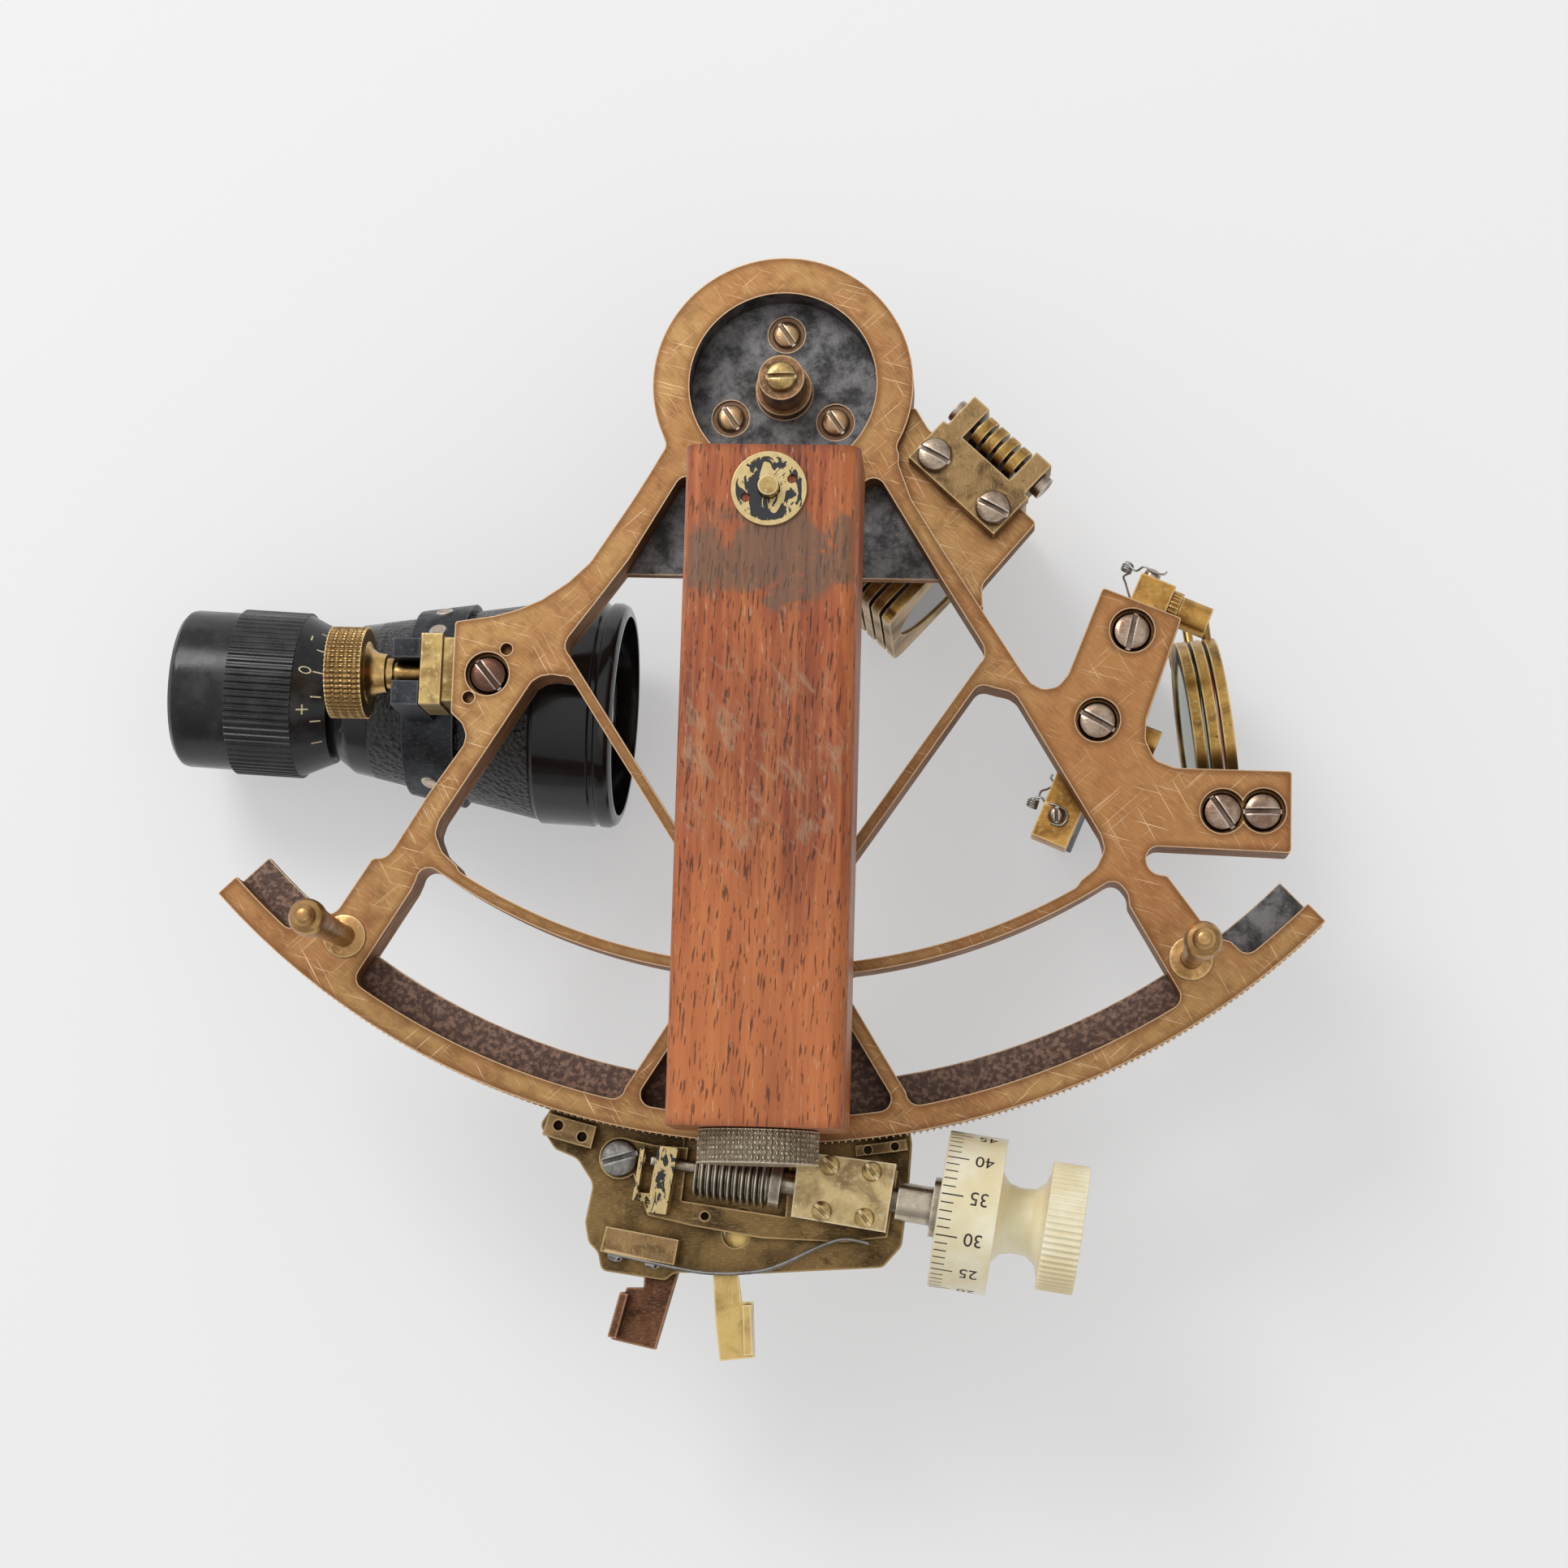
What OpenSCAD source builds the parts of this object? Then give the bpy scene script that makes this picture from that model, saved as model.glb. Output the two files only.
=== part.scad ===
// Micrometer sextant, seen from its handle side.
// Units are millimetres. The origin is the index pivot on the frame's back face.
// +Z points from the frame toward the handle, -Y from the pivot toward the arc.

/* [Frame] */
// Radius of the limb's back edge
limb_r = 162; // [150:0.5:175]
// Radial width of the raised limb rib
limb_rib = 4.8; // [3:0.1:8]
// Inner radius of the thin limb web
limb_web_r = 150; // [145:0.5:154]
// Half of the arc's spread, in degrees
limb_half = 45.8; // [40:0.1:48]
// Thickness of the frame casting
frame_depth = 10; // [8:0.5:14]
// Thickness of the sunk webs
web_depth = 3; // [2:0.25:5]
// Outer radius of the pivot ring
ring_r = 28.1; // [24:0.1:32]
// Inner radius of the pivot ring
ring_in = 20.2; // [17:0.1:23]

/* [Pivot] */
// Radius of the collar round the bearing
collar_r = 6.1; // [5:0.1:8]
// Radius of the bearing post
post_r = 5; // [4:0.1:6]
// Height of the bearing post above the back face
post_top = 4.8; // [3:0.1:8]
// Radius of the arbor
arbor_r = 2.95; // [2:0.05:4]
// Radial clearance of the turning fits
run_gap = 0.05; // [0.02:0.01:0.1]

/* [Index arm] */
// Angle of the arm at rest, measured from -Y
arm_rest = -2.8; // [-20:0.1:20]
// Top of the arm plate
arm_top = -11.1; // [-12:0.1:-10.8]
// Bottom of the arm plate
arm_floor = -14.5; // [-16:0.1:-13]
// Half width of the arm at its narrow part
arm_half = 8; // [6:0.5:10]

/* [Micrometer] */
// Distance from the pivot to the worm's axis
worm_reach = 168; // [167.8:0.05:168.6]
// Slope of the worm's axis in the arm's frame
worm_slope = -4.7; // [-6:0.1:-3]
// Height of the worm's axis
worm_z = -5; // [-6:0.1:-4.5]
// Outside radius of the worm thread
worm_r = 6.25; // [5.8:0.05:6.5]
// Radius at the bottom of the worm thread
worm_root = 5.3; // [4.8:0.05:5.6]
// Radius of the rack's tooth tips
rack_tip = 162.7; // [162:0.05:163]
// Radius at the bottom of the rack teeth
rack_root = 161.5; // [161:0.05:162]
// Radius of the graduated drum
drum_r = 16.2; // [14:0.1:18]
// Width of the graduated drum
drum_wide = 12.1; // [9:0.1:16]
// Radius of the ribbed knob
knob_r = 13.3; // [10:0.1:16]
// Width of the ribbed knob
knob_wide = 7.7; // [5:0.1:12]

/* [Handle] */
// Width of the wooden grip
grip_wide = 35.4; // [28:0.2:42]
// Length of the wooden grip
grip_long = 137; // [120:1:150]
// Underside of the grip
grip_low = 10; // [6:0.5:14]
// Top face of the grip
grip_high = 38; // [32:0.5:44]
// Radius of the battery bore
cell_bore = 8.2; // [7.5:0.1:9]
// Radius of the battery cap
cap_r = 12.2; // [10:0.1:14]
// Radius of the switch disc
disc_r = 7.7; // [6:0.1:9]

/* [Legs] */
// Sideways distance of a leg from the centre line
leg_x = 88.8; // [84:0.1:94]
// Radius of a leg's sleeve
leg_r = 3.8; // [3:0.1:5]
// Height of a leg's tip
leg_tip = 41; // [38:0.5:46]

/* [Telescope] */
// Height of the telescope's axis
scope_z = -42; // [-44:0.5:-40]
// Radius of the objective barrel
barrel_r = 25.4; // [22:0.1:26]
// Radius of the eyecup
eye_r = 17.9; // [15:0.1:20]
// Radius of the ribbed focus ring
focus_r = 18.8; // [17:0.1:22]

/* [Shades] */
// Thickness of a shade frame
shade_thick = 2.4; // [1.8:0.1:2.8]
// Distance between neighbouring shades
shade_step = 3.2; // [3:0.1:3.6]
// Half width of an index shade
shade_half = 19; // [16:0.5:20]
// Radius of a horizon shade
round_shade_r = 22; // [18:0.5:23]

/* [Mirrors] */
// Lowest plane of the mirrors, where the instrument lies face down
rest_z = -67.4; // [-68:0.1:-66]
// Length of the index mirror glass
index_glass = 47; // [40:0.5:50]
// Length of the horizon mirror glass
horizon_glass = 45; // [38:0.5:47]

/* [Hidden] */
$fn = 64;
web_top = -frame_depth + web_depth;
rack_pitch = 0.5;
worm_pitch = 1.414;
bronze = [0.66, 0.44, 0.25];
dark_cast = [0.13, 0.12, 0.11];
brass_tone = [0.8, 0.62, 0.3];
steel_tone = [0.62, 0.6, 0.56];
black_tone = [0.05, 0.05, 0.055];
blued_tone = [0.14, 0.16, 0.17];
wood_tone = [0.36, 0.13, 0.06];
ivory_tone = [0.86, 0.82, 0.68];
mirror_tone = [0.8, 0.82, 0.84];
lens_tone = [0.75, 0.85, 0.88, 0.5];
// centre line of the grip: x at the top end and its lean in degrees
grip_x = 1.25;
grip_top = -23.6;
grip_lean = 0.3;
grip_mid = (grip_low + grip_high) / 2;
// clamp screw's axis
clamp_y = -63.8;
clamp_z = -7;
// shade pins: local height and offset
index_pin_y = 15.3;
index_pin_z = -3.5;
round_pin_z = -17.4;
// screws of the worm's bearing housing, in the arm's frame
housing_spots = [[23.3, -165.6], [32.1, -166.2], [22.4, -175.1], [31.3, -175.8]];
// slope of the telescope's main cone
cone_slope = 0.1835;

// fills inner corners and rounds outer ones
module rounded_2d(fill, round) offset(r = -fill, $fn = 24) offset(r = fill + round, $fn = 24)
  offset(r = -round, $fn = 24) union() children();

module bar(p, q, w) {
  d = q - p;
  translate(p) rotate(atan2(d[1], d[0])) translate([0, -w / 2]) square([norm(d), w]);
}

module wedge(from_deg, to_deg) {
  mid = (from_deg + to_deg) / 2;
  polygon([[0, 0], 300 * [cos(from_deg), sin(from_deg)], 300 * [cos(mid), sin(mid)],
    300 * [cos(to_deg), sin(to_deg)]]);
}

module arc_band(r_in, r_out, from_deg, to_deg) {
  intersection() {
    difference() {
      circle(r_out, $fn = 360);
      circle(r_in, $fn = 360);
    }
    wedge(from_deg, to_deg);
  }
}

module slab(z0, z1) translate([0, 0, z0]) linear_extrude(z1 - z0) children();

module post(x, y, z0, z1, r) translate([x, y, z0]) cylinder(h = z1 - z0, r = r);

module rod_x(x0, x1, y, z, r) translate([x0, y, z]) rotate([0, 90, 0]) cylinder(h = x1 - x0, r = r);

module rod_y(y0, y1, x, z, r) translate([x, y1, z]) rotate([90, 0, 0]) cylinder(h = y1 - y0, r = r);

module domed(x, y, z, r, h, turn = 0) {
  slot_half = 0.22 + r * 0.07;
  translate([x, y, z]) rotate([0, 0, turn]) difference() {
    rotate_extrude() polygon([[0, 0], [r, 0], [r, h * 0.35], [r * 0.9, h * 0.7], [r * 0.6, h * 0.93], [0, h]]);
    translate([-r - 1, -slot_half, h * 0.35]) cube([2 * r + 2, 2 * slot_half, h]);
  }
}

module ribbed(r, deep, count) {
  polygon([for (i = [0:count - 1]) for (k = [0:3])
    let (a = 360 * (i + [0, 0.18, 0.5, 0.68][k]) / count, q = r - [deep, 0, 0, deep][k])
      q * [cos(a), sin(a)]]);
}

module in_arm() rotate([0, 0, arm_rest]) children();

module in_worm() {
  foot = -90 + worm_slope;
  in_arm() translate([worm_reach * cos(foot), worm_reach * sin(foot), worm_z])
    rotate([0, 0, worm_slope]) rotate([0, 90, 0]) children();
}

module in_scope() translate([-134.9, -61.7, scope_z]) rotate([0, 0, -2.47]) rotate([0, 90, 0]) children();

module in_horizon() translate([70, -60, 0]) rotate([0, 0, 68.5]) children();

module in_index_shade() translate([28.3, -16.7, 0]) rotate([0, 0, -41.9]) children();

module in_round_shade() translate([97.4, -91, 0]) rotate([0, 0, 8.5]) children();

module rack_2d() {
  first = -90 - limb_half;
  steps = floor(2 * limb_half / rack_pitch);
  inner = limb_r - limb_rib + 1;
  last = first + steps * rack_pitch;
  polygon(concat(
    [for (i = [0:steps - 1]) for (k = [0:1])
      let (a = first + (i + k / 2) * rack_pitch) (k == 0 ? rack_root : rack_tip) * [cos(a), sin(a)]],
    [rack_root * [cos(last), sin(last)]],
    [for (i = [0:40]) let (a = last - (last - first) * i / 40) inner * [cos(a), sin(a)]]));
}

module left_ribs_2d() {
  polygon([[-21, -17], [-25, -14.8], [-28.4, -21], [-31.7, -26.7], [-35.8, -33.3], [-40, -40],
    [-44.5, -44.4], [-50, -48.3], [-55, -50.6], [-60, -52.1], [-68.5, -53.5], [-68.5, -73.3],
    [-66, -75.5], [-65, -78], [-65.4, -80.2], [-72.3, -90.7], [-79.3, -102.8], [-81, -104.8],
    [-83.7, -105], [-90.6, -116.3], [-93, -117.5], [-97, -118], [-100, -121], [-99.8, -124.3],
    [-84.5, -135.5], [-86.5, -132.5], [-86, -130], [-75, -111.5], [-74, -109], [-75, -106], [-71, -105.8],
    [-66, -108], [-65.4, -106.3], [-68.9, -103.3], [-70.6, -99.3], [-69.7, -96.3], [-51.5, -66.3],
    [-49.6, -65], [-47.1, -64.6], [-44.8, -65], [-43.2, -61.2], [-45, -59.5], [-44.2, -56.7],
    [-35, -43.8], [-31.7, -39.2], [-22, -22]]);
}

module right_ribs_2d() {
  polygon([[20, -18], [25.4, -14], [25.4, -17.5], [28.3, -25], [35.8, -36.7], [44.2, -49.2],
    [52.5, -61.7], [54.6, -64.4], [57.2, -65.7], [60.2, -65], [62.3, -62.4], [69.3, -43.5],
    [85.9, -49.8], [78.9, -71.5], [78.7, -75.9], [80.7, -80.2], [85, -81.8], [109.2, -82],
    [109.2, -99.2], [76.7, -98.3], [78.9, -100.2], [79.8, -103.3], [81.5, -104.3],
    [83.7, -104.6], [90.7, -113.7], [93, -116.9], [97, -118], [100, -121], [99.8, -124.3],
    [84.5, -135.5], [86.9, -132.5], [87.2, -129.8], [75.9, -111.1], [75.6, -108.6],
    [73.7, -106.2], [71.1, -105.6], [66, -108], [65.4, -106.3], [68.9, -103.3], [70.6, -99.3],
    [69.7, -96.3], [51.7, -67.4], [50, -66.2], [47.1, -65.6], [44.8, -65], [43.2, -61.2],
    [44.9, -59.8], [44.4, -56.5], [33.75, -40], [22.5, -22]]);
}

module ribs_2d() {
  difference() {
    circle(ring_r, $fn = 120);
    circle(ring_in, $fn = 120);
  }
  left_ribs_2d();
  right_ribs_2d();
  bar([-45, -60.4], [-0.5, -127], 2.3);
  bar([45, -60.4], [0.5, -127], 2.3);
  bar([-11, -127], [-27, -153.2], 3);
  bar([13.4, -127], [29.6, -152.4], 3);
  arc_band(125.5, 128, -124, -56);
  arc_band(limb_r - limb_rib, limb_r - 0.3, -90 - limb_half, -90 + limb_half);
  translate([-leg_x, -121.7]) circle(5.4);
  translate([leg_x, -121.7]) circle(5.4);
}

module webs_2d() {
  arc_band(limb_web_r, limb_r - limb_rib + 0.4, -90 - limb_half, -90 + limb_half);
  circle(ring_in + 0.4, $fn = 120);
  polygon([[-23, -20], [23, -20], [34.4, -41], [-33.6, -41]]);
  polygon([[-11, -127.4], [13.4, -127.4], [29, -151.5], [0, -154], [-26.4, -152.2]]);
}

module lug_2d() {
  polygon([[22, -14], [28.2, -3.3], [31.7, -8.75], [33.75, -10], [51.7, -25.8], [55, -28.75],
    [43.75, -42.5], [44.2, -49], [35, -36], [27, -24]]);
}

module counterbore(x, y) {
  post(x, y, -2.4, 1, 4.7);
  post(x, y, -frame_depth - 1, 1, 2.1);
}

module frame_casting() color(bronze) {
  difference() {
    union() {
      slab(-frame_depth, 0) rounded_2d(2.6, 0.6) ribs_2d();
      slab(-frame_depth, web_top) webs_2d();
      slab(-frame_depth, -4) rounded_2d(2, 0.6) lug_2d();
      slab(-2.6, 0) arc_band(limb_r - limb_rib, rack_tip - 0.3, -90 - limb_half, -90 + limb_half);
      slab(-frame_depth + 0.6, -2.5) rack_2d();
      grip_posts();
    }
    post(0, 0, -frame_depth - 1, 1, collar_r);
    for (a = [90, 207, 330]) rotate([0, 0, a]) post(13, 0, -frame_depth - 1, 1, 1.5);
    for (a = [90, 207, 330]) rotate([0, 0, a]) post(13, 0, web_top - 0.5, 1, 4);
    counterbore(-61.1, -64.7);
    counterbore(75.6, -52.6);
    counterbore(68.7, -71.9);
    counterbore(95, -90.7);
    counterbore(103.4, -90.4);
    for (p = [[-57.2, -59.3], [-64.9, -69.9]]) post(p[0], p[1], -3.5, 1, 1.3);
    in_index_shade() for (x = [2.7, 19.7]) post(x, 4.1, -frame_depth - 1, 1, 1.7);
  }
}

module arc_scale() color(steel_tone)
  slab(-frame_depth - 0.6, -frame_depth) arc_band(limb_web_r + 0.6, limb_r - 4.5, -134, -46);

module pivot_bearing() color(steel_tone) difference() {
  union() {
    post(0, 0, -frame_depth, -3.6, collar_r);
    post(0, 0, -frame_depth, post_top, post_r);
    post(0, 0, -frame_depth - 0.9, -frame_depth, 17);
  }
  post(0, 0, -frame_depth - 2, post_top + 1, arbor_r + run_gap);
  for (a = [90, 207, 330]) rotate([0, 0, a]) post(13, 0, -frame_depth - 2, -frame_depth + 1, 1.5);
}

module slotted_screws() color(steel_tone) {
  bearing_screws();
  bracket_screws();
  spring_studs();
}

module bearing_screws() for (a = [90, 207, 330]) rotate([0, 0, a]) {
  domed(13, 0, web_top - 0.5, 3, 1.7, -55 - a);
  post(13, 0, -frame_depth - 0.9, web_top - 0.4, 1.45);
}

module spring_studs() in_horizon() {
  post(-32.2, -2.6, -14, -9.9, 1.2);
  domed(-32.2, -2.6, -10, 1.8, 1.6, 22);
  rod_x(19.5, 23.6, -1.5, -12, 1.2);
  translate([23.5, -1.5, -12]) rotate([0, 90, 0]) domed(0, 0, 0, 1.8, 2, 70);
}

module bracket_screws() in_index_shade() for (x = [2.7, 19.7]) {
  domed(x, 4.1, 0.4, 3.7, 1.8, 14);
  post(x, 4.1, -frame_depth, 0.5, 1.65);
}

module pivot_arbor() color(steel_tone) difference() {
  post(0, 0, arm_floor, post_top + 0.1, arbor_r);
  post(0, 0, -4, post_top + 1, 1.25);
}

module pivot_cap_screw() color(brass_tone) {
  domed(0, 0, post_top + 0.1, 3.3, 1.6, 2);
  post(0, 0, -3.9, post_top + 0.2, 1.2);
}

module index_arm() color(bronze) in_arm() difference() {
  slab(arm_floor, arm_top) rounded_2d(3, 1.6) {
    circle(20, $fn = 90);
    polygon([[-14, -12], [14, -12], [arm_half, -95], [arm_half, -120], [10, -140], [20, -150.4],
      [37, -147.8], [39.6, -159.5], [39.6, -170.7], [39, -180.9], [35.4, -185.6],
      [10.1, -188.9], [-8.5, -190.2], [-9.5, -192], [-23.5, -191], [-24.5, -187.2],
      [-26.7, -185.4], [-27.8, -181.2], [-26.8, -173.1], [-30.7, -168.1], [-35.6, -166.5],
      [-39.3, -161.7], [-37.4, -158.5], [-36, -147.8], [-20, -150.4], [-10, -140],
      [-arm_half, -120], [-arm_half, -95]]);
  }
  post(0, 0, arm_floor - 1, arm_top + 1, arbor_r + 0.03);
  slab(arm_floor - 1, arm_top + 1) translate([-8, -157.4]) square([16, 7]);
  slab(arm_floor - 1, arm_top + 1) union() {
    translate([5.3, -178.6]) circle(2.8);
    translate([4.2, -181.2]) circle(2.8);
    bar([5.3, -178.6], [4.2, -181.2], 5.6);
  }
  post(-21.3, -167.4, arm_floor - 1, arm_top + 1, 2);
  slab(arm_top - 0.5, arm_top + 1)
    polygon([[-8, -160.2], [15.6, -160.2], [15.1, -179.6], [-8.8, -178.2]]);
}

module guide_shoes() color(bronze) in_arm() {
  slab(arm_top, -7.6) difference() {
    arc_band(163.3, 168.2, -103.1, -99.4);
    for (p = [[-34.8, -161.6], [-29.6, -163.6]]) translate(p) circle(1);
  }
  slab(arm_top, -7.6) difference() {
    arc_band(163.2, 165.6, -80.2, -76.4);
    for (p = [[30.6, -161.6], [36.2, -160.4]]) translate(p) circle(0.8);
  }
}

module index_mirror_frame() color(blued_tone) in_arm() rotate([0, 0, 5]) {
  slab(arm_floor - 2.5, arm_floor) difference() {
    circle(20);
    circle(3.4);
  }
  difference() {
    translate([-7, -25, rest_z]) cube([3.8, 50, arm_floor - 2 - rest_z]);
    translate([-8, -16, -54]) cube([6, 32, 25]);
  }
  for (s = [-1, 1]) translate([-12, s * 12 - 1.5, -34]) cube([5.5, 3, arm_floor - 2 + 34]);
  for (s = [-1, 1]) for (z = [-58, -32]) mirror_clip(s, z);
}

module mirror_clip(side, z) {
  translate([-3.2, side * 24.6 - 0.6, z]) cube([4, 1.2, 5]);
  translate([0, side * 23.7 - 1.5, z]) cube([0.8, 3, 5]);
}

module index_mirror_glass() color(mirror_tone) in_arm() rotate([0, 0, 5])
  translate([-3.15, -index_glass / 2, rest_z + 2]) cube([3, index_glass, 46]);

module spring_block() color(brass_tone) in_arm() difference() {
  slab(arm_top, -4) polygon([[-22.4, -181.7], [-7, -183.3], [-7.5, -188.6], [-23.2, -187]]);
  for (x = [-20.2, -12.4]) strip_screw(x) cylinder(h = 4, r = 0.85);
}

module strip_screw(x) translate([x, -187.05 - (x + 23.2) * 0.102, -7.4]) rotate([0, 0, -5.83])
  rotate([-90, 0, 0]) children();

module arm_screws() color(steel_tone) in_arm() {
  domed(-21.3, -167.4, -8.2, 4, 1.8, 20);
  post(-21.3, -167.4, arm_floor, -8.1, 1.95);
  for (x = [-20.2, -12.4]) strip_screw(x) {
    rotate([180, 0, 0]) domed(0, 0, 0, 1.7, 1.5, 50);
    translate([0, 0, -0.1]) cylinder(h = 3.9, r = 0.8);
  }
}

module fixed_lever() color([0.4, 0.22, 0.13]) in_arm() {
  slab(arm_floor - 3, arm_floor) polygon([[-15, -180], [-8, -180], [-7.6, -190.3],
    [-11, -206.5], [-20.5, -205.1], [-18.2, -194.1], [-14.6, -193.8]]);
  slab(arm_floor - 3, -9) bar([-18, -195.2], [-19.8, -204.6], 1.8);
}

module worm_carrier() color(bronze) in_arm() slab(-11, -8.4) difference() {
  polygon(concat([for (a = [315:-15:90]) [-21.3 + 4.4 * cos(a), -167.4 + 4.4 * sin(a)]],
    [[-14, -164.1], [16, -163.9], [28, -164.4], [37.2, -165.4], [36, -179.3], [27, -181],
      [10, -181.6], [-5, -180.2], [-14.4, -178.8]]));
  translate([-21.3, -167.4]) circle(2);
  polygon([[-6.9, -160], [14.6, -160], [14.4, -176.8], [-7.6, -175.2]]);
  translate([-2.4, -178]) circle(0.9);
}

module end_block() color(dark_cast) difference() {
  union() {
    in_arm() slab(-8.4, -0.4) polygon([[-12.6, -164.4], [-8.4, -164.5], [-9.8, -178.4], [-13.9, -178.2]]);
    in_arm() slab(-8.4, -2) polygon([[-16.4, -164.8], [-15.5, -164.8], [-16.3, -176], [-17.2, -176]]);
    in_arm() slab(-8.4, -6.4) polygon([[-16.6, -174.2], [-12, -174.2], [-12.4, -176], [-17, -176]]);
  }
  in_worm() translate([0, 0, -6]) cylinder(h = 20, r = 1.35);
}

module bearing_housing() color(brass_tone) difference() {
  in_arm() slab(-8.4, -0.4) difference() {
    polygon([[16.6, -163.2], [37, -164.2], [35.8, -178.4], [16.1, -176.7]]);
    for (p = housing_spots) translate(p) circle(1.1);
  }
  in_worm() translate([0, 0, 20]) cylinder(h = 40, r = 2.6 + run_gap);
}

module housing_screws() color(steel_tone) in_arm()
  for (p = housing_spots) {
    domed(p[0], p[1], -0.4, 2.05, 1, -18 - p[0]);
    post(p[0], p[1], -8.4, -0.3, 1.05);
  }

module leaf_spring() color(steel_tone) in_arm() {
  slab(-8.4, -4.2) union() {
    bar([-5.6, -188.6], [-0.8, -189.2], 0.8);
    bar([-1, -189.2], [7.5, -188.3], 0.8);
    bar([7.2, -188.4], [13.3, -186.3], 0.8);
    bar([13, -186.5], [24.7, -181.6], 0.8);
    bar([24.4, -181.7], [32.4, -182], 0.8);
    translate([28.9, -180.2]) circle(1.6);
    bar([28.9, -181.8], [28.9, -179], 1.6);
  }
}

module release_lever() color(brass_tone) in_arm() {
  slab(arm_floor - 3.1, arm_floor - 0.4) union() {
    polygon([[2, -178], [8.4, -178], [5.1, -189.8], [6.2, -195.1], [8.6, -194.9],
      [9.9, -206.4], [2.7, -207.7], [1.2, -200], [-0.2, -190.2]]);
    translate([5.3, -178.6]) circle(3.2);
  }
  slab(arm_floor - 3.1, -9) bar([7.8, -195.6], [9, -205.8], 1.8);
  post(5.3, -178.6, arm_floor - 2, -11, 1.9);
}

module worm_thread() {
  turns = 12;
  around = 20;
  start = 9.4 - worm_pitch;
  fraction = [0, 0.16, 0.42, 0.6];
  radius = [worm_root, worm_root, worm_r, worm_r];
  last = 4 * turns;
  spots = [for (i = [0:last]) for (j = [0:around - 1])
    let (a = 360 * j / around, r = radius[i % 4],
      x = start + worm_pitch * (floor(i / 4) + fraction[i % 4] + j / around))
      [r * cos(a), r * sin(a), x]];
  low = len(spots);
  high = low + 1;
  walls = [for (i = [0:last - 1]) for (j = [0:around - 2])
    each [[i * around + j, (i + 1) * around + j + 1, i * around + j + 1],
      [i * around + j, (i + 1) * around + j, (i + 1) * around + j + 1]]];
  seam = [for (i = [0:last - 5])
    each [[i * around + around - 1, (i + 5) * around, (i + 4) * around],
      [i * around + around - 1, (i + 1) * around + around - 1, (i + 5) * around]]];
  low_fan = concat(
    [for (j = [0:around - 2]) [low, j, j + 1]],
    [[low, around - 1, 4 * around]],
    [for (i = [0:3]) [low, (i + 1) * around, i * around]]);
  high_fan = concat(
    [for (j = [0:around - 2]) [high, last * around + j + 1, last * around + j]],
    [for (i = [0:3]) [high, (last - i - 1) * around + around - 1, (last - i) * around + around - 1]],
    [[high, last * around, (last - 4) * around + around - 1]]);
  polyhedron(concat(spots, [[0, 0, start - 2.2], [0, 0, start + worm_pitch * (turns + 1) + 0.4]]),
    concat(walls, seam, low_fan, high_fan), convexity = 8);
}

module worm_shaft() color(steel_tone) in_worm() {
  intersection() {
    worm_thread();
    translate([0, 0, 9.45]) linear_extrude(15.15) square(16, center = true);
  }
  translate([0, 0, -0.4]) cylinder(h = 12, r = 1.3);
  translate([0, 0, 22]) cylinder(h = 4, r = 4.6);
  translate([0, 0, 25.2]) cylinder(h = 2.2, r = 5.95);
  translate([0, 0, 24]) cylinder(h = 66, r = 2.6);
  translate([0, 0, 51.6]) cylinder(h = 8.7, r = 4);
  translate([0, 0, 58.8]) cylinder(h = 1.5, r = 6.2);
}

module drum() color(ivory_tone) in_worm() difference() {
  union() {
    translate([0, 0, 60.35]) cylinder(h = drum_wide, r = drum_r, $fn = 96);
    translate([0, 0, 60.35 + drum_wide]) rotate_extrude() polygon([[0, 0], [9.4, 0], [7.4, 1.6],
      [6.8, 4], [7, 7], [8.6, 9], [11.6, 9.9], [0, 9.9]]);
    translate([0, 0, 82.3]) linear_extrude(knob_wide) ribbed(knob_r, 0.4, 60);
  }
  translate([0, 0, 58]) cylinder(h = 32.4, r = 2.62);
}

module magnifier_post() color(brass_tone) in_arm() {
  post(0, -112, arm_floor - 2.4, arm_floor, 7);
  post(0, -112, -64, arm_floor, 3.5);
  post(0, -112, -66.8, -62.1, 5);
}

module magnifier_arm() color(black_tone) in_arm() {
  difference() {
    union() {
      post(0, -112, -62, -56, 6.5);
      slab(-61, -57) bar([0, -114], [0, -128], 6);
    }
    post(0, -112, -63, -55, 3.5 + run_gap);
  }
  difference() {
    post(0, -140, rest_z, -52, 13);
    post(0, -140, rest_z - 1, -51, 11);
  }
}

module magnifier_lens() color(lens_tone) in_arm() translate([0, -140, -61]) rotate_extrude()
  polygon([[0, -1.6], [5, -1.2], [10.95, 0.4], [10.95, 2], [5, 3.4], [0, 3.8]]);

module in_grip() translate([grip_x, grip_top, grip_mid]) rotate([0, 0, grip_lean]) rotate([90, 0, 0]) children();

module grip_section(w, h, r) {
  square([w - 2 * r, h], center = true);
  square([w, h - 2 * r], center = true);
  for (sx = [-1, 1]) for (sy = [-1, 1]) translate([sx * (w / 2 - r), sy * (h / 2 - r)]) circle(r);
}

module handle_grip() color(wood_tone) difference() {
  in_grip() difference() {
    linear_extrude(grip_long) grip_section(grip_wide, grip_high - grip_low, 3.6);
    translate([0, 0, 24]) cylinder(h = grip_long, r = cell_bore);
  }
  post(0.9, -33.5, grip_low - 1, 17, 3);
  post(2.9, -148, grip_low - 1, 13, 3);
  post(0.8, -32.9, 33, 50, 4);
}

module grip_posts() {
  post(0.9, -33.5, web_top, grip_low, 4.8);
  post(0.9, -33.5, web_top, 16.9, 2.95);
  post(2.9, -147.5, web_top, grip_low, 6);
  post(2.9, -148, web_top, 12.9, 2.95);
}

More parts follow.
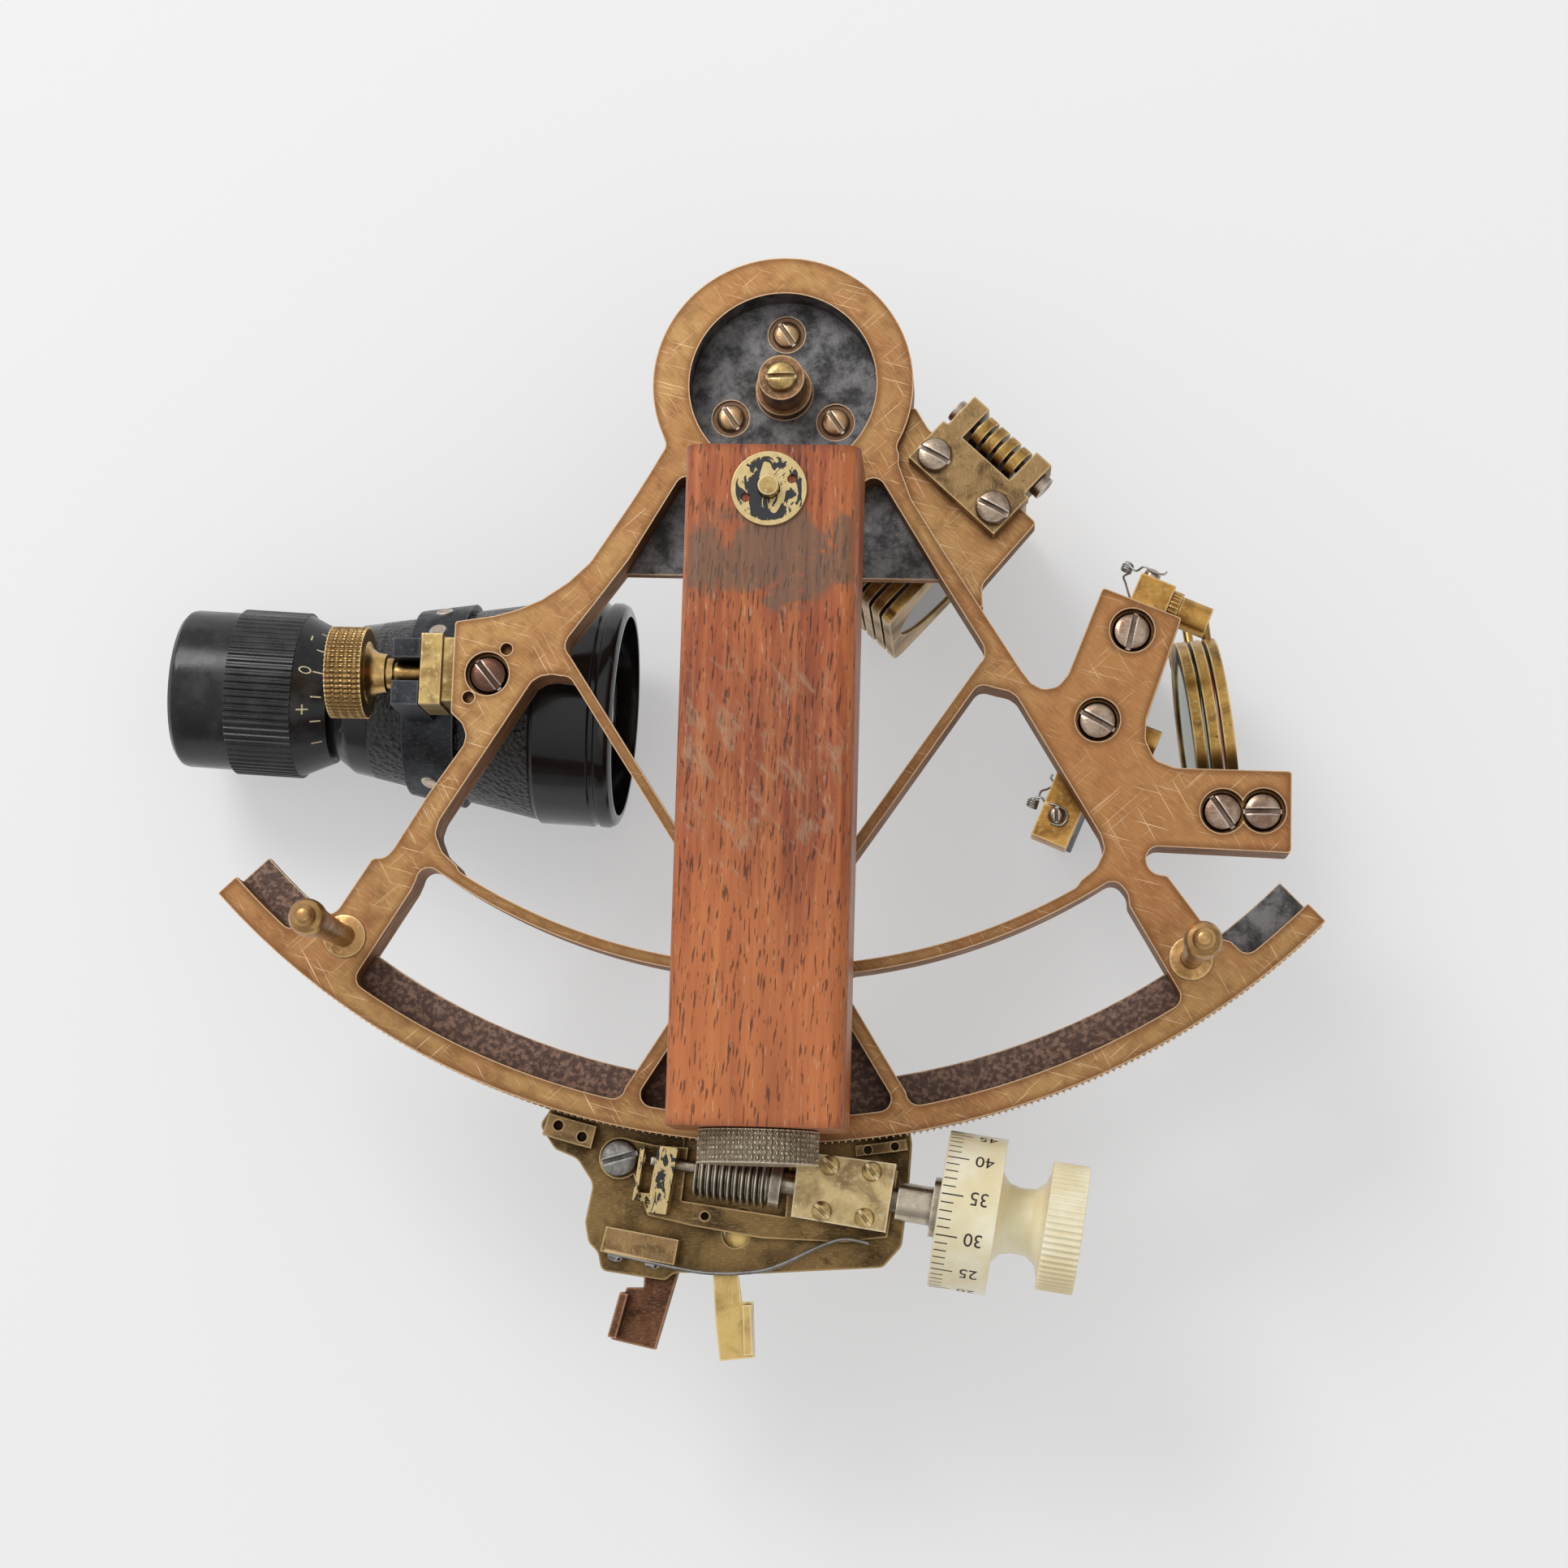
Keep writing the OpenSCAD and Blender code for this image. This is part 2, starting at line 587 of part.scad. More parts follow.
module switch_disc() color(brass_tone) difference() {
  union() {
    post(0.8, -32.9, grip_high, grip_high + 0.7, disc_r);
    post(0.8, -32.9, 33, grip_high, 3.95);
  }
  post(0.8, -32.9, 34, 50, 2.1 + run_gap);
  for (s = [-1, 1]) post(0.8 + s * 4.6, -32.9 + s * 2, grip_high - 0.5, 50, 0.9);
}

module push_button() color(black_tone) {
  post(0.8, -32.9, 36, 41.4, 2.1);
}

module battery_cells() color([0.75, 0.76, 0.78]) in_grip() for (u = [26, 77]) translate([0, 0, u]) {
  cylinder(h = 48.5, r = 7.1);
  translate([0, 0, 48]) cylinder(h = 1.6, r = 2.7);
}

module battery_cap() color(blued_tone) in_grip() {
  translate([0, 0, grip_long + 0.2]) linear_extrude(6.8) ribbed(cap_r, 0.25, 60);
  translate([0, 0, grip_long - 6]) cylinder(h = 7, r = cell_bore - 0.06);
}

module rear_legs() color(steel_tone) for (s = [-1, 1]) translate([s * leg_x, -121.7, 0]) {
  rotate_extrude() polygon([[0, 0], [4.6, 0], [4.6, 0.4], [2.3, 0.8], [2.3, 8], [3.1, 29],
    [leg_r - 0.2, leg_tip - 7.6], [leg_r, leg_tip - 6.2], [leg_r, leg_tip - 4.6], [leg_r - 0.5, leg_tip - 3.2],
    [2.2, leg_tip - 2.5], [2.1, leg_tip - 1.2], [1.3, leg_tip - 0.3], [0, leg_tip]]);
}

module lug_screw(x, y, turn) {
  domed(x, y, -2.4, 4.1, 2, turn);
  post(x, y, -frame_depth, -2.3, 2.05);
}

module lug_screws() color([0.6, 0.36, 0.2]) {
  lug_screw(-61.1, -64.7, -50);
  lug_screw(75.6, -52.6, 78);
  lug_screw(68.7, -71.9, -28);
  lug_screw(95, -90.7, -55);
  lug_screw(103.4, -90.4, 1);
}

module horizon_mirror_base() color(brass_tone) in_horizon() difference() {
  translate([-38, -7.2, -17.4]) cube([61.5, 8, 7.4]);
  for (x = [19.4, -9.7]) rod_y(-8, -3.2, x, -14.2, 1.5);
  post(-32.2, -2.6, -14.1, -9, 1.25);
  rod_x(19.4, 24, -1.5, -12, 1.25);
}

module horizon_mirror_frame() color(blued_tone) in_horizon() difference() {
  translate([-31, -7, rest_z]) cube([48, 3.8, -17.4 - rest_z]);
  translate([-22, -8, -54]) cube([30, 6, 24]);
}

module horizon_mirror_glass() color(mirror_tone) in_horizon()
  translate([-7 - horizon_glass / 2, -3.15, rest_z + 2]) cube([horizon_glass, 3, 46]);

module horizon_adjusters() color(brass_tone) in_horizon() for (x = [19.4, -9.7]) {
  rod_y(-16.4, -9.6, x, -14.2, 3.4);
  translate([x, -7.3, -14.2]) rotate([90, 0, 0]) linear_extrude(2.2) ribbed(4, 0.3, 24);
  rod_y(-12, -3.4, x, -14.2, 1.45);
}

module coil(r, wire, pitch, turns) {
  step = 8;
  last = turns * step;
  spots = [for (i = [0:last]) for (k = [0:5])
    let (a = 360 * i / step, b = 60 * k, q = r + wire * cos(b))
      [q * cos(a), q * sin(a), pitch * i / step + wire * sin(b)]];
  echo(coil_gap = norm([0, 0, pitch]) - 2 * wire);
  polyhedron(spots, concat([[for (k = [0:5]) k]],
    [for (i = [0:last - 1]) for (k = [0:5])
      let (n = (k + 1) % 6) each [[i * 6 + k, (i + 1) * 6 + k, (i + 1) * 6 + n],
        [i * 6 + k, (i + 1) * 6 + n, i * 6 + n]]],
    [[for (k = [5:-1:0]) last * 6 + k]]), convexity = 6);
}

module mirror_springs() color(steel_tone) in_horizon() for (p = [[23.6, 4.2], [-33.2, 3.4]])
  translate([p[0], p[1], -13]) rotate([0, 90, 0]) coil(1.25, 0.3, 1.05, 3);

module index_shade_bracket() color(brass_tone) in_index_shade() difference() {
  union() {
    translate([-1.2, 0, -4]) cube([24.9, 11, 4.4]);
    for (x = [0, 18.1]) translate([x, 8.9, -8]) cube([4.4, 10.5, 8.4]);
  }
  for (x = [2.7, 19.7]) post(x, 4.1, -5, 2, 1.7);
  rod_x(-1, 24, index_pin_y, index_pin_z, 1.55);
}

module index_shade(k) in_index_shade() translate([6.45 + k * shade_step, 0, 0]) difference() {
  union() {
    rod_x(-shade_thick / 2, shade_thick / 2, index_pin_y, index_pin_z, 3.9);
    translate([-shade_thick / 2, 11.6, -24]) cube([shade_thick, 6.4, 24 + index_pin_z]);
    rotate([90, 0, 90]) translate([-7.3, -41.5, -shade_thick / 2]) linear_extrude(shade_thick)
      translate([3.2, 0]) grip_section(2 * shade_half + 6.4, 2 * shade_half + 6, 3);
  }
  rod_x(-2, 2, index_pin_y, index_pin_z, 1.5 + run_gap);
  rod_x(-2, 2, -7.3, -42, 16);
}

module index_shade_1() color(blued_tone) index_shade(0);
module index_shade_2() color(blued_tone) index_shade(1);
module index_shade_3() color(blued_tone) index_shade(2);
module index_shade_4() color(blued_tone) index_shade(3);

module index_pane(k) in_index_shade()
  rod_x(5.75 + k * shade_step, 7.15 + k * shade_step, -7.3, -42, 15.95);

module index_glass_1() color([0.1, 0.25, 0.12, 0.7]) index_pane(0);
module index_glass_2() color([0.3, 0.2, 0.08, 0.7]) index_pane(1);
module index_glass_3() color([0.25, 0.1, 0.05, 0.7]) index_pane(2);
module index_glass_4() color([0.1, 0.1, 0.12, 0.7]) index_pane(3);

module horizon_shade_bracket() color(blued_tone) difference() {
  in_round_shade() difference() {
    union() {
      translate([-9, -5, -15]) cube([18.6, 11, 5]);
      for (x = [-6.6, 5]) translate([x, -5, -21.4]) cube([2, 9, 8]);
    }
    rod_x(-8, 8, 0, round_pin_z, 1.55);
  }
  post(95, -90.7, -20, -9, 2.2);
  post(103.4, -90.4, -20, -9, 2.2);
}

module shade_pins() color(steel_tone) {
  in_index_shade() {
    rod_x(-1.4, 24.3, index_pin_y, index_pin_z, 1.5);
    rod_x(-1.6, -0.1, index_pin_y, index_pin_z, 2.6);
    rod_x(22.6, 24.4, index_pin_y, index_pin_z, 2.6);
  }
  in_round_shade() {
    rod_x(-7, 7.4, 0, round_pin_z, 1.5);
    rod_x(-8, -6.7, 0, round_pin_z, 2.4);
    rod_x(7.1, 8.2, 0, round_pin_z, 2.4);
  }
}

module horizon_shade(k) in_round_shade() translate([-3.2 + k * shade_step, 0, 0]) difference() {
  union() {
    rod_x(-shade_thick / 2, shade_thick / 2, 0, round_pin_z, 2.3);
    rod_x(-shade_thick / 2, shade_thick / 2, 23, -42, round_shade_r);
    rotate([90, 0, 90]) translate([0, 0, -shade_thick / 2]) linear_extrude(shade_thick)
      bar([0, round_pin_z], [14, -33], 4.4);
    translate([0, 23, -42]) rotate([-90 + 20 * k - 36, 0, 0]) cylinder(h = round_shade_r + 7.5, r = 1.05);
  }
  rod_x(-2, 2, 0, round_pin_z, 1.5 + run_gap);
  rod_x(-2, 2, 23, -42, 18);
}

module horizon_shade_1() color(blued_tone) horizon_shade(0);
module horizon_shade_2() color(blued_tone) horizon_shade(1);
module horizon_shade_3() color(blued_tone) horizon_shade(2);

module round_pane(k) in_round_shade()
  rod_x(-3.9 + k * shade_step, -2.5 + k * shade_step, 23, -42, 17.95);

module horizon_glass_1() color([0.1, 0.25, 0.12, 0.7]) round_pane(0);
module horizon_glass_2() color([0.3, 0.2, 0.08, 0.7]) round_pane(1);
module horizon_glass_3() color([0.25, 0.1, 0.05, 0.7]) round_pane(2);

module clamp_block() color(brass_tone) difference() {
  union() {
    translate([-75.85, -71.5, -14]) cube([4.8, 15.6, 13.4]);
    translate([-71.1, -70.6, -12.4]) cube([2.6, 14, 11]);
  }
  rod_x(-77, -68, clamp_y, clamp_z, 2.3 + run_gap);
}

module clamp_screw() color(brass_tone) {
  translate([-96, clamp_y, clamp_z]) rotate([0, 90, 0]) linear_extrude(8) ribbed(9.9, 0.3, 54);
  translate([-88, clamp_y, clamp_z]) rotate([0, 90, 0]) rotate_extrude()
    polygon([[0, -0.2], [7, -0.2], [6.6, 0.3], [5.3, 0.9], [4.5, 1.9], [4.2, 3.3], [4.2, 4.1],
      [3.3, 4.2], [3.3, 5.7], [0, 5.7]]);
  rod_x(-88, -70.2, clamp_y, clamp_z, 2.3);
}

function cone_r(u) = 16.9 + (u - 38.5) * cone_slope;

module telescope_band() color(blued_tone) {
  in_scope() rotate_extrude() polygon([[cone_r(51.6) + 0.02, 51.6], [cone_r(51.6) + 1.6, 51.6],
    [cone_r(63.6) + 1.6, 63.6], [cone_r(63.6) + 0.02, 63.6]]);
  difference() {
    translate([-81.9, -71.6, -26]) cube([5.9, 14.6, 25]);
    translate([-83, -66.3, clamp_z - 2.6]) cube([8, 5, 14]);
    in_scope() translate([0, 0, 38.5]) cylinder(h = 42, r1 = cone_r(38.5) + 0.8, r2 = cone_r(80.5) + 0.8);
    translate([-83, -71.7, -5]) rotate([45, 0, 0]) translate([0, -6, 0]) cube([9, 6, 6]);
  }
}

module telescope_tube() color(black_tone) in_scope() difference() {
  rotate_extrude() polygon([[11.2, 12.2], [12, 12.2], [12, 33.6], [13.6, 33.6], [14.2, 34.6], [16.9, 38.5],
    [24.7, 81], [barrel_r, 81.5], [barrel_r, 93.4], [24.9, 93.8], [24.9, 94.8],
    [barrel_r, 95.2], [barrel_r, 97], [24.8, 98.2], [23.6, 98.8], [22.5, 98.8],
    [22.5, 90], [21.5, 90], [21.5, 82], [15.4, 41], [11.2, 34]]);
}

module objective_lens() color(lens_tone) in_scope() rotate_extrude()
  polygon([[0, 88.6], [10, 89], [22.4, 90.8], [22.4, 93], [10, 95.4], [0, 96]]);

module focus_ring() color(black_tone) in_scope() difference() {
  union() {
    translate([0, 0, 10.9]) linear_extrude(15) ribbed(focus_r, 0.4, 72);
    rotate_extrude() polygon([[0, 25.8], [18.3, 25.8], [14.9, 33.2], [0, 33.2]]);
    translate([0, 0, -2.2]) rotate_extrude() polygon([[0, 0], [eye_r - 1.4, 0], [eye_r - 0.3, 1],
      [eye_r, 2.2], [eye_r, 13.2], [0, 13.2]]);
  }
  translate([0, 0, 11]) cylinder(h = 30, r = 12 + run_gap);
  translate([0, 0, 0]) cylinder(h = 12, r = 9.5);
  translate([0, 0, -2.3]) cylinder(h = 3.6, r1 = 15, r2 = 9.5);
}

module eyepiece_lens() color(lens_tone) in_scope() rotate_extrude()
  polygon([[0, 3], [9.4, 4.6], [9.4, 6.2], [0, 7.6]]);

frame_casting();
arc_scale();
pivot_bearing();
slotted_screws();
pivot_arbor();
pivot_cap_screw();
index_arm();
guide_shoes();
index_mirror_frame();
index_mirror_glass();
spring_block();
arm_screws();
fixed_lever();
worm_carrier();
end_block();
bearing_housing();
housing_screws();
leaf_spring();
release_lever();
worm_shaft();
drum();
magnifier_post();
magnifier_arm();
magnifier_lens();
handle_grip();
switch_disc();
push_button();
battery_cells();
battery_cap();
rear_legs();
lug_screws();
horizon_mirror_base();
horizon_mirror_frame();
horizon_mirror_glass();
horizon_adjusters();
mirror_springs();
index_shade_bracket();
index_shade_1();
index_shade_2();
index_shade_3();
index_shade_4();
index_glass_1();
index_glass_2();
index_glass_3();
index_glass_4();
horizon_shade_bracket();
shade_pins();
horizon_shade_1();
horizon_shade_2();
horizon_shade_3();
horizon_glass_1();
horizon_glass_2();
horizon_glass_3();
clamp_block();
clamp_screw();
telescope_band();
telescope_tube();
objective_lens();
focus_ring();
eyepiece_lens();
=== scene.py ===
import bpy
import math
from mathutils import Matrix, Vector


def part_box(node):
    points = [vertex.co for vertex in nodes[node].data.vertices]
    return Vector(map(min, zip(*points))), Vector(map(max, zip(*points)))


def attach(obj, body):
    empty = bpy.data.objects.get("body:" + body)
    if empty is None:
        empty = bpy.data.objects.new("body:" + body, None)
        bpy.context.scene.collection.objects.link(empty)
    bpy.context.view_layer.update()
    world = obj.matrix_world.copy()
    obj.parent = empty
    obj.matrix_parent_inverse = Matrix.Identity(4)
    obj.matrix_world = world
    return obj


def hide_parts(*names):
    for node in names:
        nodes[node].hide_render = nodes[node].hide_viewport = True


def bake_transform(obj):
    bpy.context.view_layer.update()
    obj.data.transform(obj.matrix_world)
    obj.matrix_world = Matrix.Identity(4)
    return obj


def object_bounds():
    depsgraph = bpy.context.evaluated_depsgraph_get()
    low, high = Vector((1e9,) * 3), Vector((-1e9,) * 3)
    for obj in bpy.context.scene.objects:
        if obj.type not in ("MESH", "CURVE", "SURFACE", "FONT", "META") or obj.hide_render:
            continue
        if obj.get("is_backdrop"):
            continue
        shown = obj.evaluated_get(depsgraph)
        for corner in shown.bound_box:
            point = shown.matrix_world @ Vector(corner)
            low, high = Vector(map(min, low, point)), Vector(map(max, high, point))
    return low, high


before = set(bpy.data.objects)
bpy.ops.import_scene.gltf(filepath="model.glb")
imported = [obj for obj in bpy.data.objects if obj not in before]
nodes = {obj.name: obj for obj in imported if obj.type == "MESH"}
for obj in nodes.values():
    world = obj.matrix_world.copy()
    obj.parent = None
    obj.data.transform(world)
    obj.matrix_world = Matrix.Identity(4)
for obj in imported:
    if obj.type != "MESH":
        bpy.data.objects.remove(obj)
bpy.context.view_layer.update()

# lengths in this script are millimetres in the row's frame; mm turns them into metres
mm = 0.001
print("frame loaded:", len(nodes), "nodes")

# the photograph's camera: where it stands, the point it looks at, its roll in degrees, and its focal length
# and the image's width in the photograph's pixels
view = {"spot": (47.71, -185.46, 640.92), "aim": (3.12, -87.08, 0), "roll": 1.89, "focal": 3800,
        "imageSize": 1932}


def viewAxes():
    ahead = (Vector(view["aim"]) - Vector(view["spot"])).normalized()
    level = ahead.cross(Vector((0, 1, 0))).normalized()
    right = Matrix.Rotation(-math.radians(view["roll"]), 3, ahead) @ level
    return right, right.cross(ahead), ahead


# the point at a given height that shows at a pixel of the photograph, to a tenth of a millimetre
def photoPoint(pixel, height):
    right, up, ahead = viewAxes()
    middle = view["imageSize"] / 2
    ray = ahead + right * ((pixel[0] - middle) / view["focal"]) - up * ((pixel[1] - middle) / view["focal"])
    point = Vector(view["spot"]) + ray * ((height - view["spot"][2]) / ray.z)
    return (round(point.x, 1), round(point.y, 1), height)


# small helpers for building materials
def startMaterial(name, roughness=0.5, metallic=0.0, color=(0.5, 0.5, 0.5), **sockets):
    mat = bpy.data.materials.new(name)
    mat.use_nodes = True
    shader = mat.node_tree.nodes["Principled BSDF"]
    shader.inputs["Base Color"].default_value = (*color, 1)
    shader.inputs["Roughness"].default_value = roughness
    shader.inputs["Metallic"].default_value = metallic
    for socket, value in sockets.items():
        shader.inputs[socket.replace("_", " ")].default_value = value
    return mat, shader


def feed(mat, value, target):
    if isinstance(value, bpy.types.NodeSocket):
        mat.node_tree.links.new(value, target)
    else:
        target.default_value = value


def addNode(mat, kind, inputs=(), **settings):
    node = mat.node_tree.nodes.new(kind)
    for key, value in settings.items():
        setattr(node, key, value)
    for socket, value in dict(inputs).items():
        feed(mat, value, node.inputs[socket])
    return node


def connect(mat, source, target):
    mat.node_tree.links.new(source, target)


def place(mat, stretch=(1, 1, 1), turn=(0, 0, 0), shift=(0, 0, 0)):
    coords = addNode(mat, "ShaderNodeTexCoord")
    turned = addNode(mat, "ShaderNodeMapping",
                     {"Vector": coords.outputs["Object"], "Location": shift, "Rotation": turn})
    stretched = addNode(mat, "ShaderNodeMapping", {"Vector": turned.outputs["Vector"], "Scale": stretch})
    return stretched.outputs["Vector"]


def noise(mat, where, scale, detail=4.0, rough=0.55, twist=0.0):
    made = addNode(mat, "ShaderNodeTexNoise", {"Vector": where, "Scale": scale, "Detail": detail,
                                               "Roughness": rough, "Distortion": twist})
    return made.outputs["Fac"]


def cells(mat, where, scale, feature="F1"):
    made = addNode(mat, "ShaderNodeTexVoronoi", {"Vector": where, "Scale": scale}, feature=feature)
    return made.outputs["Distance"]


def step(mat, value, low, high, fromValue=0.0, toValue=1.0):
    made = addNode(mat, "ShaderNodeMapRange", {"Value": value, "From Min": low, "From Max": high,
                                               "To Min": fromValue, "To Max": toValue}, clamp=True)
    made.interpolation_type = "SMOOTHSTEP"
    return made.outputs["Result"]


def calc(mat, operation, a, b=0.0):
    made = addNode(mat, "ShaderNodeMath", operation=operation)
    for i, value in enumerate((a, b)):
        feed(mat, value, made.inputs[i])
    return made.outputs[0]


def blendColor(mat, amount, first, second):
    made = addNode(mat, "ShaderNodeMix", data_type="RGBA")
    for i, value in ((0, amount), (6, first), (7, second)):
        feed(mat, (*value, 1) if isinstance(value, tuple) else value, made.inputs[i])
    return made.outputs[2]


def blendValue(mat, amount, first, second):
    made = addNode(mat, "ShaderNodeMix", data_type="FLOAT")
    for i, value in ((0, amount), (2, first), (3, second)):
        feed(mat, value, made.inputs[i])
    return made.outputs[0]


def ramp(mat, value, stops):
    made = addNode(mat, "ShaderNodeValToRGB", {"Fac": value})
    band = made.color_ramp
    while len(band.elements) < len(stops):
        band.elements.new(0.5)
    for element, (spot, color) in zip(band.elements, stops):
        element.position = spot
        element.color = (*color, 1)
    return made.outputs["Color"]


def bump(mat, shader, height, depth, strength=1.0, before=None):
    made = addNode(mat, "ShaderNodeBump", {"Height": height, "Distance": depth, "Strength": strength})
    if before is not None:
        connect(mat, before, made.inputs["Normal"])
    connect(mat, made.outputs["Normal"], shader.inputs["Normal"])
    return made.outputs["Normal"]


def axisParts(mat, where):
    made = addNode(mat, "ShaderNodeSeparateXYZ", {"Vector": where})
    return made.outputs["X"], made.outputs["Y"], made.outputs["Z"]


def facing(mat):
    coords = addNode(mat, "ShaderNodeTexCoord")
    return axisParts(mat, coords.outputs["Normal"])


# mask along convex edges, from how much of the solid is missing just under the surface; the materials below
# lay painted highlight, painted shade and rubbed wear along edges with it
def worn(mat, reach=0.5, low=0.93, high=0.62):
    made = addNode(mat, "ShaderNodeAmbientOcclusion", {"Distance": reach * mm}, inside=True, samples=5)
    return step(mat, made.outputs["AO"], low, high)


# painted shade in inner corners
def grime(mat, reach=2.0, low=0.80, high=0.35):
    made = addNode(mat, "ShaderNodeAmbientOcclusion", {"Distance": reach * mm}, samples=5)
    return step(mat, made.outputs["AO"], low, high)


def both(mat, a, b):
    return calc(mat, "MULTIPLY", a, b)


def opposite(mat, value):
    return calc(mat, "SUBTRACT", 1.0, value)


def darker(tone, share):
    return tuple(v * share for v in tone)


def cover(mat, color, tone, amount, share):
    return blendColor(mat, calc(mat, "MULTIPLY", amount, share), color, tone)


def distance(mat, a, b):
    return calc(mat, "SQRT", calc(mat, "ADD", both(mat, a, a), both(mat, b, b)))


# one inside a circle seen from above, in millimetres
def near(mat, x, y, spot, radius):
    dx = calc(mat, "SUBTRACT", x, spot[0] * mm)
    dy = calc(mat, "SUBTRACT", y, spot[1] * mm)
    return step(mat, distance(mat, dx, dy), (radius + 0.15) * mm, (radius - 0.15) * mm)


# bronze frame: brushed and scratched back face, dark cast floors, purple-brown web, painted highlight along
# the edges with a band of painted shade beside it
bronze = {"face": (0.40, 0.190, 0.078), "faceDeep": (0.19, 0.082, 0.034), "faceLight": (0.80, 0.50, 0.25),
          "golden": (0.46, 0.265, 0.105), "reddish": (0.50, 0.215, 0.080), "side": (0.17, 0.076, 0.036),
          "sideLight": (0.44, 0.22, 0.095), "web": (0.090, 0.050, 0.038), "webLight": (0.25, 0.150, 0.105),
          "black": (0.036, 0.035, 0.035), "smudge": (0.21, 0.205, 0.205), "edge": (0.95, 0.68, 0.42),
          "speck": (0.50, 0.40, 0.30), "seat": (0.34, 0.18, 0.09), "creaseShade": (0.055, 0.030, 0.018),
          "faceTop": -0.9, "lugTop": -4.4, "hub": (21.6, 20.0), "handleWeb": (70.0, 60.0),
          "darkEnd": (85.5, 89.5), "seatRing": 13.0, "seatTurns": (90, 207, 330), "seatRadius": 4.1,
          "scratches": ((0.25, 0.68), (1.05, 0.685), (-0.75, 0.69))}


def bronzeFace(mat, where, x, y, cloud, brush):
    brushB = noise(mat, place(mat, (1500, 90, 400), (0, 0, -0.3)), 2.2, 4.0, 0.65)
    fine = noise(mat, where, 210.0, 4.0, 0.6, 0.3)
    face = blendColor(mat, step(mat, cloud, 0.36, 0.60), bronze["face"], bronze["golden"])
    face = blendColor(mat, step(mat, fine, 0.42, 0.72, 0.0, 0.55), face, bronze["faceDeep"])
    lowerRight = both(mat, step(mat, x, 0.040, 0.062), step(mat, y, -0.118, -0.104))
    face = cover(mat, face, bronze["reddish"], lowerRight, 0.5)
    face = blendColor(mat, step(mat, brush, 0.50, 0.74, 0.0, 0.62), face, bronze["faceLight"])
    face = blendColor(mat, step(mat, brush, 0.46, 0.30, 0.0, 0.45), face, bronze["faceDeep"])
    face = blendColor(mat, step(mat, brushB, 0.60, 0.78, 0.0, 0.45), face, bronze["faceLight"])
    for turn, rarity in bronze["scratches"]:
        scratch = noise(mat, place(mat, (14, 900, 40), (0, 0, turn), (turn, rarity, 0)), 4.0, 2.0, 0.4)
        face = blendColor(mat, step(mat, scratch, rarity, rarity + 0.03, 0.0, 0.75), face, bronze["edge"])
    return face


def bronzeFloor(mat, where, x, y, radius, black):
    grain = step(mat, noise(mat, where, 900.0, 3.0), 0.42, 0.66)
    floor = blendColor(mat, grain, bronze["web"], bronze["webLight"])
    darkParts = calc(mat, "MAXIMUM", step(mat, radius, *[v * mm for v in bronze["handleWeb"]]),
                     step(mat, x, *[v * mm for v in bronze["darkEnd"]]))
    floor = blendColor(mat, darkParts, floor, black)
    speck = step(mat, noise(mat, where, 2400.0, 2.0), 0.69, 0.75)
    floor = cover(mat, floor, bronze["speck"], speck, 0.7)
    seats = 0.0
    for turn in bronze["seatTurns"]:
        angle = math.radians(turn)
        spot = (bronze["seatRing"] * math.cos(angle), bronze["seatRing"] * math.sin(angle))
        seats = calc(mat, "MAXIMUM", seats, near(mat, x, y, spot, bronze["seatRadius"]))
    return cover(mat, floor, bronze["seat"], seats, 0.85)


def makeCasting():
    mat, shader = startMaterial("castBronze", 0.4, 1.0)
    where = place(mat)
    x, y, z = axisParts(mat, where)
    nz = facing(mat)[2]
    cloud = noise(mat, where, 42.0, 5.0, 0.62, 0.5)
    brush = noise(mat, place(mat, (90, 1400, 400), (0, 0, 0.65)), 2.6, 5.0, 0.7)
    face = bronzeFace(mat, where, x, y, cloud, brush)
    smudges = step(mat, noise(mat, where, 170.0, 6.0, 0.72, 0.1), 0.36, 0.64)
    black = blendColor(mat, smudges, bronze["black"], bronze["smudge"])
    radius = distance(mat, x, y)
    floor = bronzeFloor(mat, where, x, y, radius, black)
    sideGrain = step(mat, noise(mat, place(mat, (60, 60, 900)), 3.0, 4.0), 0.38, 0.72)
    side = blendColor(mat, sideGrain, bronze["side"], bronze["sideLight"])
    up = step(mat, nz, 0.5, 0.8)
    color = blendColor(mat, up, side, floor)
    hub = step(mat, radius, *[v * mm for v in bronze["hub"]])
    color = blendColor(mat, both(mat, opposite(mat, up), hub), color, black)
    lug = both(mat, step(mat, z, (bronze["lugTop"] - 0.8) * mm, bronze["lugTop"] * mm), up)
    color = blendColor(mat, lug, color, face)
    top = bronze["faceTop"] * mm
    flat = both(mat, step(mat, nz, 0.6, 0.9), step(mat, z, top - 0.9 * mm, top))
    color = blendColor(mat, flat, color, face)
    shine = calc(mat, "MAXIMUM", flat, lug)
    # painted shade in the casting's inner corners
    color = cover(mat, color, bronze["creaseShade"], grime(mat, 1.6), 0.75)
    # painted shade in a band just inside the edges of the polished faces
    color = cover(mat, color, bronze["faceDeep"], both(mat, worn(mat, 1.8, 0.92, 0.68), shine), 0.8)
    # painted highlight on the edges themselves; the same bright colour also draws the real scratches
    color = cover(mat, color, bronze["edge"], worn(mat, 0.45, 0.82, 0.60), 0.85)
    connect(mat, color, shader.inputs["Base Color"])
    dull = step(mat, cloud, 0.3, 0.7, 0.5, 0.66)
    polished = step(mat, brush, 0.3, 0.75, 0.44, 0.28)
    connect(mat, blendValue(mat, shine, dull, polished), shader.inputs["Roughness"])
    bare = calc(mat, "MAXIMUM", shine, calc(mat, "MULTIPLY", opposite(mat, up), 0.85))
    connect(mat, blendValue(mat, bare, 0.45, 1.0), shader.inputs["Metallic"])
    grit = both(mat, noise(mat, where, 1500.0, 3.0), opposite(mat, shine))
    lines = both(mat, brush, calc(mat, "MULTIPLY", shine, 0.25))
    bump(mat, shader, calc(mat, "ADD", grit, lines), 0.00022, 0.7)
    return mat
